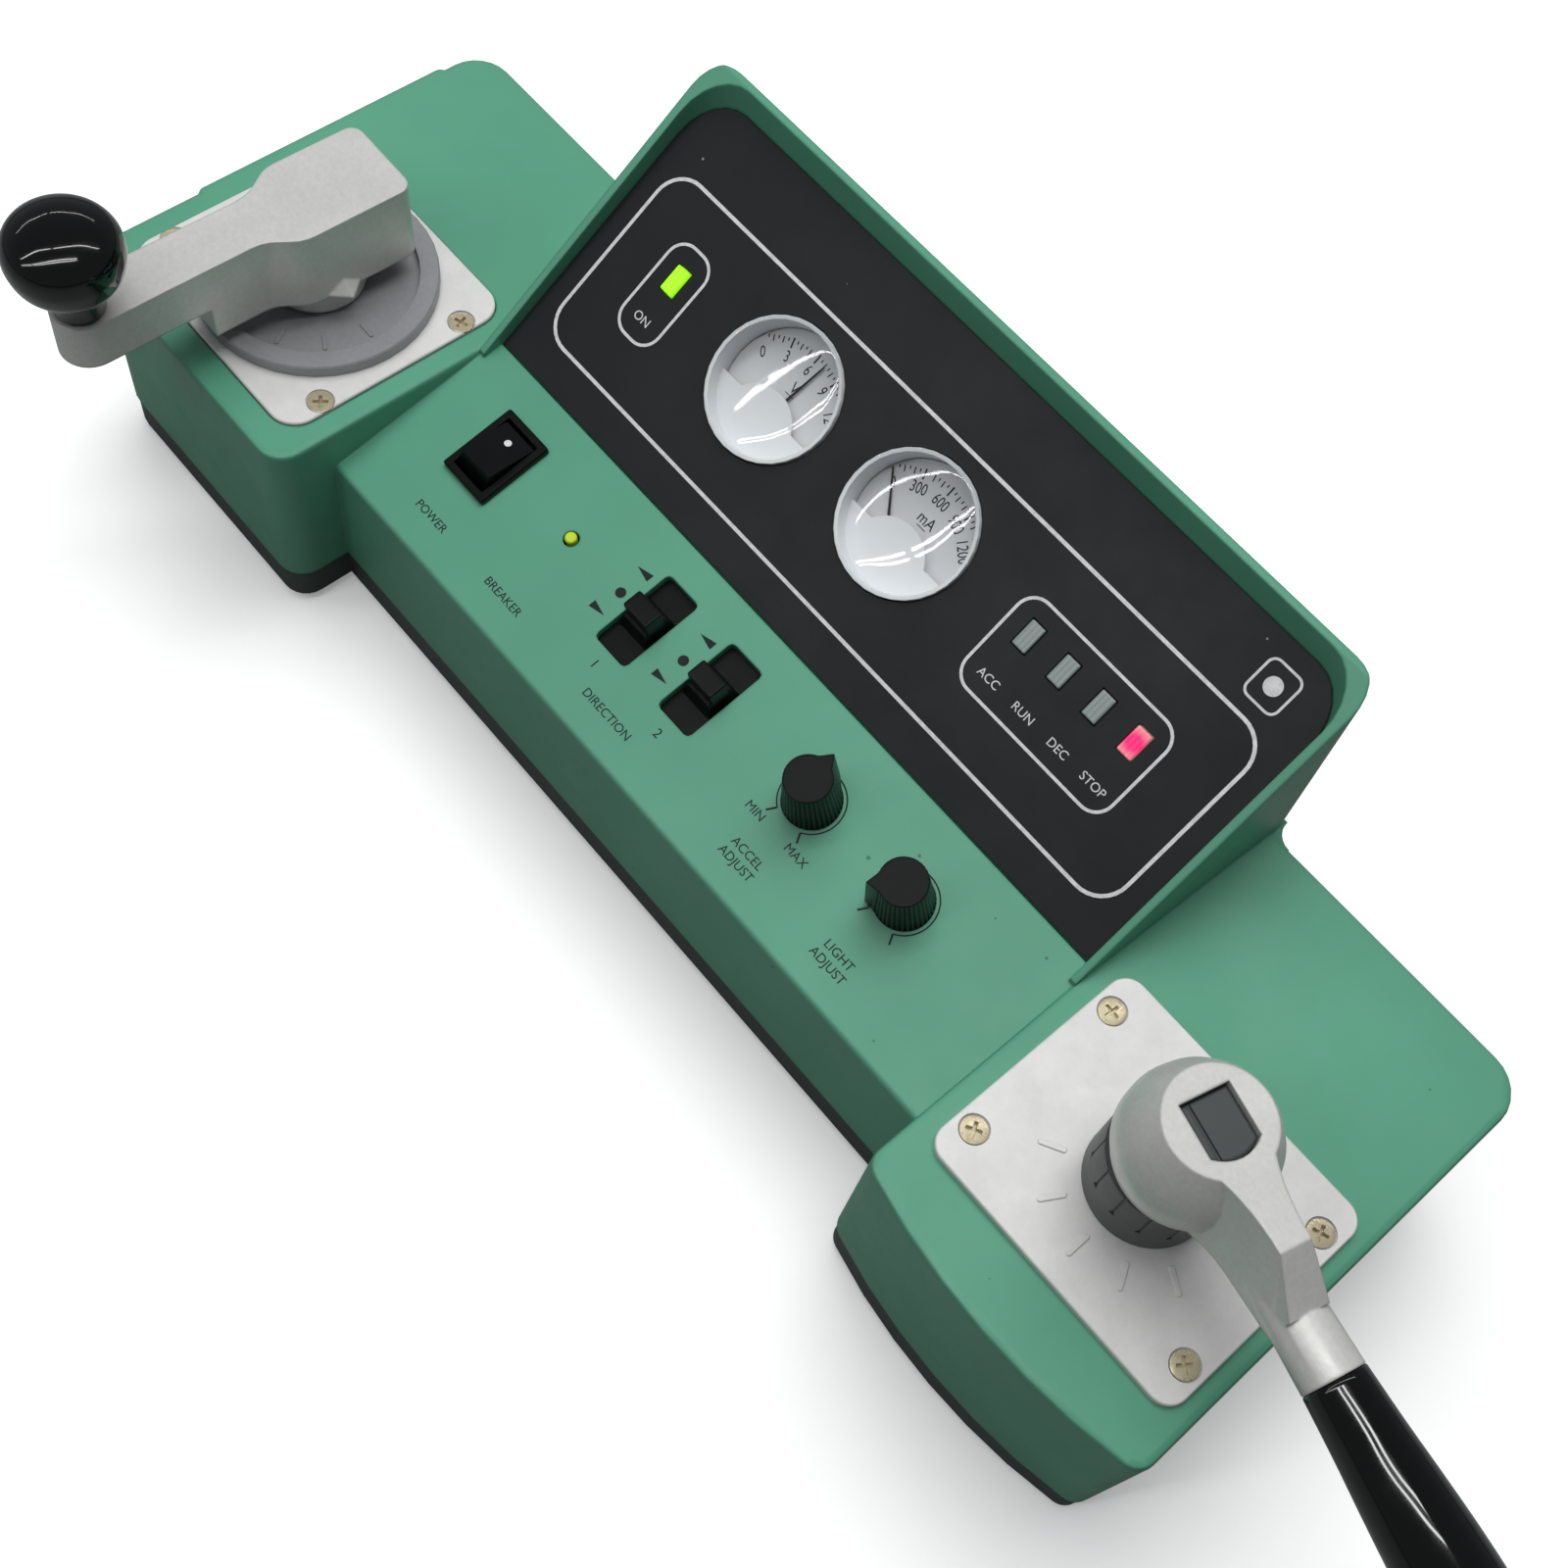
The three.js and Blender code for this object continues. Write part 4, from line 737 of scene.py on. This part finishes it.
def meter_scale(name, meter, black):
    """Ticks, numbers and unit on a meter's dial."""
    tilt = panel_frame(TILT_MARK)
    dial = Print(height=DIAL_INK_LIFT_MM - DIAL_DEPTH_MM)
    middle = across(f"{name}_lens")
    pivot_up = METER_UP - METER_PIVOT_DOWN

    def on_scale(radius, share):
        """Place on the dial at a share of the sweep, and the lean from straight up."""
        lean = SCALE_SWEEP * (share - 0.5)
        angle = math.radians(lean)
        return (middle + radius * math.sin(angle), pivot_up + radius * math.cos(angle)), lean

    for step in range(SCALE_STEPS + 1):
        kind = "long" if step % 6 == 0 else "middle" if step % 2 == 0 else "short"
        inner, outer, width = TICKS[kind]
        ends = [on_scale(radius, step / SCALE_STEPS)[0] for radius in (inner, outer)]
        if math.hypot(ends[1][0] - middle, ends[1][1] - METER_UP) < WINDOW_RADIUS:
            dial.stroke(ends, width)
    for index, words in enumerate(meter["numbers"]):
        (x, y), lean = on_scale(NUMERAL_RADIUS, index / (len(meter["numbers"]) - 1))
        dial.text(words, x, y, NUMERAL_SIZE, turn=-lean, narrow=NUMERAL_NARROW)
    dial.text(meter["unit"], middle + UNIT_ASIDE, METER_UP + UNIT_RISE, NUMERAL_SIZE, narrow=UNIT_NARROW)
    underline = [(middle + aside, METER_UP + UNIT_LINE_RISE) for aside in (UNIT_LINE_FROM, UNIT_LINE_TO)]
    dial.stroke(underline, UNIT_LINE_WIDTH)
    dial.build(f"{name}_scale", tilt, black)


# ------------------------------------------------------------------ rounder pieces


def ball_knob(material):
    """Polished mushroom knob of the master handle."""
    low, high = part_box("master_knob")
    middle = centre("master_knob")
    foot = Vector((middle.x, middle.y, low.z))
    radius = (high.x - low.x) / 2 / MM
    height = (high.z - low.z) / MM
    shape = [(0.0, 0.0), (0.45, 0.0), (0.456, 0.012), (0.468, 0.112), (0.53, 0.224), (0.71, 0.321)]
    shape += [(0.905, 0.448), (0.985, 0.575), (0.999, 0.672), (0.96, 0.775), (0.825, 0.873)]
    shape += [(0.56, 0.95), (0.28, 0.988), (0.0, 1.0)]
    flat, curve = shape[:3], smooth_line(shape[2:], 6)
    profile = [(r * radius, z * height) for r, z in flat + curve[1:]]
    points, faces = revolve(profile)
    stand = upright_frame(foot)
    knob = new_piece("ball_knob", points, faces, stand, material, "master_lever", True)
    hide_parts("master_knob")


def hand_grip(material):
    """Polished black grip of the brake handle, turned about its own long axis."""
    pivot = Vector(joint("brake_turn")["pos_m"])
    middle = centre("brake_grip")
    direction = Vector((middle.x - pivot.x, middle.y - pivot.y, 0)).normalized()
    reach = [(v.co - pivot).dot(direction) / MM for v in frame["nodes"]["brake_grip"].data.vertices]
    start, end = min(reach), max(reach)
    length = end - start
    shape = [(0, 0), (6.5, 0.0), (6.75, 0.006), (6.8, 0.02), (7.5, 0.19), (8.4, 0.36), (9.1, 0.52)]
    shape += [(9.4, 0.68), (9.0, 0.82), (7.7, 0.92), (5.3, 0.98), (2.5, 0.997), (0, 1.0)]
    profile = [(r, start + z * length) for r, z in shape[:3] + smooth_line(shape[3:], 6)]
    points, faces = revolve(profile)
    side = Vector((0, 0, 1)).cross(direction)
    turn = Matrix((-side, Vector((0, 0, 1)), direction)).transposed().to_4x4()
    place = Matrix.Translation(Vector((pivot.x, pivot.y, middle.z))) @ turn @ Matrix.Scale(MM, 4)
    grip = new_piece("hand_grip", points, faces, place, material, "brake_lever", True)
    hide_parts("brake_grip")


def adjuster_knob(number, material):
    """Ribbed pointer knob of an adjuster."""
    node = f"control_knob_{number}"
    stand = panel_frame({"joint": f"adjuster_{number}_turn", "x": 0.0, "up": 0.0})
    inverse = stand.inverted()
    corners = [inverse @ v.co for v in frame["nodes"][node].data.vertices]
    tip = max((p for p in corners if p.z > 0), key=lambda p: math.hypot(p.x, p.y))
    heading = math.atan2(tip.y, tip.x)
    top = max(p.z for p in corners)

    def teardrop(angle, radius, height):
        """Round fluted skirt that draws out into the beak."""
        off = abs((angle - heading + math.pi) % (2 * math.pi) - math.pi)
        reach = BEAK_FOOT + (BEAK_TIP - BEAK_FOOT) * height / top
        beak = (reach - radius) * max(0.0, 1 - off / BEAK_HALF_ANGLE) ** 1.7
        fluted = 0.6 < height < top - 0.2 and off > BEAK_HALF_ANGLE * 0.8
        wave = abs(math.sin(FLUTES * angle / 2)) ** 0.7
        return radius + beak - (FLUTE_DEPTH * (1 - wave) if fluted else 0)

    shape = [(0, 0.35), (6.9, 0.35), (7.15, 0.6), (7.1, 0.7), (6.4, 8.0), (5.8, top - 1.05)]
    shape += [(5.78, top - 0.9), (5.75, top - 0.35), (5.6, top - 0.08), (5.4, top), (0, top)]
    points, faces = revolve(shape, FLUTES * FLUTE_STEPS, teardrop)
    name, body = f"ribbed_knob_{number}", f"adjuster_{number}"
    knob = new_piece(name, points, faces, stand, material, body, False)
    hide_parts(node)


def lens_dome(name, material):
    """Clear domed window of a meter."""
    tilt = panel_frame(TILT_MARK)
    stand = tilt @ Matrix.Translation(Vector((across(f"{name}_lens"), METER_UP, 0)))
    shape = [(17.35, 1.15), (17.4, 1.7), (17.1, 2.2), (16.3, 2.62)]
    shape += [(14.6, 3.05), (11.0, 3.55), (6.0, 3.84), (0, 3.92)]
    points, faces = revolve([(0, 1.1), (17.35, 1.1)] + smooth_line(shape, 4), 128)
    dome = new_piece(f"{name}_dome", points, faces, stand, material, CASE, True)
    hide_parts(f"{name}_lens")


# ------------------------------------------------------------------ studio


def pale_floor():
    """Pale floor, shown brighter to the camera than it is to the object."""
    tree = Tree("studio_floor")
    tone = tree.span(tree.noise(3, 2), 0.3, 0.7, 0.93, 0.95)
    pale = tree.add("ShaderNodeCombineColor", Red=tone, Green=tone, Blue=tone)
    lit = tree.add("ShaderNodeBsdfPrincipled", Base_Color=pale, Roughness=0.8)
    lift = tree.add("ShaderNodeEmission", Color=pale, Strength=FLOOR_LIFT)
    shown = tree.add("ShaderNodeAddShader", _0=lit, _1=lift)
    dim = tree.add("ShaderNodeBsdfDiffuse", Color=FLOOR_BOUNCE)
    seen = tree.add("ShaderNodeLightPath", out="Is Camera Ray")
    material = tree.finish(tree.add("ShaderNodeMixShader", Fac=seen, _1=dim, _2=shown))

    height = cad_box[0].z - FLOOR_DROP
    far = FLOOR_HALF
    mesh = bpy.data.meshes.new("studio_floor")
    corners = [(-far, -far, height), (far, -far, height), (far, far, height), (-far, far, height)]
    mesh.from_pydata(corners, [], [(0, 1, 2, 3)])
    mesh.materials.append(material)
    floor = bpy.data.objects.new("studio_floor", mesh)
    bpy.context.scene.collection.objects.link(floor)


def studio_lights():
    """Dim surroundings, one soft light from above, and the ceiling tubes."""
    world = bpy.data.worlds.new("studio")
    bpy.context.scene.world = world
    world.use_nodes = True
    background = world.node_tree.nodes["Background"]
    background.inputs["Color"].default_value = WORLD_COLOUR
    background.inputs["Strength"].default_value = WORLD_LIGHT

    key = add_light("key", KEY_PLACE, KEY_AIM, KEY_POWER, KEY_SIZE)
    key.visible_glossy = False
    heading = math.radians(TUBE_HEADING)
    along = Vector((math.cos(heading), math.sin(heading), 0))
    for row, (x, y) in enumerate(TUBE_ROWS):
        for side in (-1, 1):
            place = Vector((x, y, TUBE_HEIGHT)) + along * side * (TUBE_LENGTH + TUBE_GAP) / 2
            below = place - Vector((0, 0, 1))
            name = f"tube_{2 * row + (side + 3) // 2}"
            tube = add_light(name, place, below, TUBE_POWER, (TUBE_LENGTH, TUBE_WIDTH))
            tube.rotation_euler = (0, 0, heading)


def add_light(name, place, aim, power, size):
    data = bpy.data.lights.new(name, "AREA")
    data.shape = "RECTANGLE"
    data.size, data.size_y = size
    data.energy = power
    lamp = bpy.data.objects.new(name, data)
    lamp.location = place
    direction = Vector(aim) - Vector(place)
    lamp.rotation_euler = direction.to_track_quat("-Z", "Y").to_euler()
    bpy.context.scene.collection.objects.link(lamp)
    return lamp


def camera():
    data = bpy.data.cameras.new("photo_camera")
    data.lens = CAMERA_LENS
    data.sensor_width = 36
    data.clip_start = 0.01
    view = bpy.data.objects.new("photo_camera", data)
    view.location = CAMERA_PLACE
    view.rotation_euler = [math.radians(a) for a in CAMERA_TURN]
    bpy.context.scene.collection.objects.link(view)
    bpy.context.scene.camera = view
    bpy.context.scene.view_settings.view_transform = "Standard"


# ------------------------------------------------------------------ assembly

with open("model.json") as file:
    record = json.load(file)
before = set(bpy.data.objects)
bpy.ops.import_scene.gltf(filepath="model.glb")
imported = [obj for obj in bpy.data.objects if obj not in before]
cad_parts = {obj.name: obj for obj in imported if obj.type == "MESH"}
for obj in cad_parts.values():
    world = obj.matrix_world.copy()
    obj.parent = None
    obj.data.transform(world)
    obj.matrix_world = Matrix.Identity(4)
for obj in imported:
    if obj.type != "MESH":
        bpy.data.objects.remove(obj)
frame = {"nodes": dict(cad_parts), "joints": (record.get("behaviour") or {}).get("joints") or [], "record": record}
cad_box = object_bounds()

finishes = plastic_slots() | metal_slots() | meter_and_lamp_slots()
white_ink = ink("white_ink", rgb(216, 218, 218))
black_ink = ink("black_ink", rgb(26, 30, 30))

curves = smoothing_group()
for entry in frame["record"]["subparts"]:
    part = frame["nodes"][entry["node"]]
    paint(part, finishes[entry["material_slot"]])
    soften(part, curves)

slope_print(black_ink)
rocker_dot(white_ink)
panel_print(white_ink)
for meter_name, details in METERS.items():
    meter_scale(meter_name, details, black_ink)
    lens_dome(meter_name, finishes["lens_clear"])
ball_knob(finishes["knob_black"])
hand_grip(finishes["knob_black"])
adjuster_knob(1, finishes["switch_black"])
adjuster_knob(2, finishes["switch_black"])

pale_floor()
studio_lights()
camera()
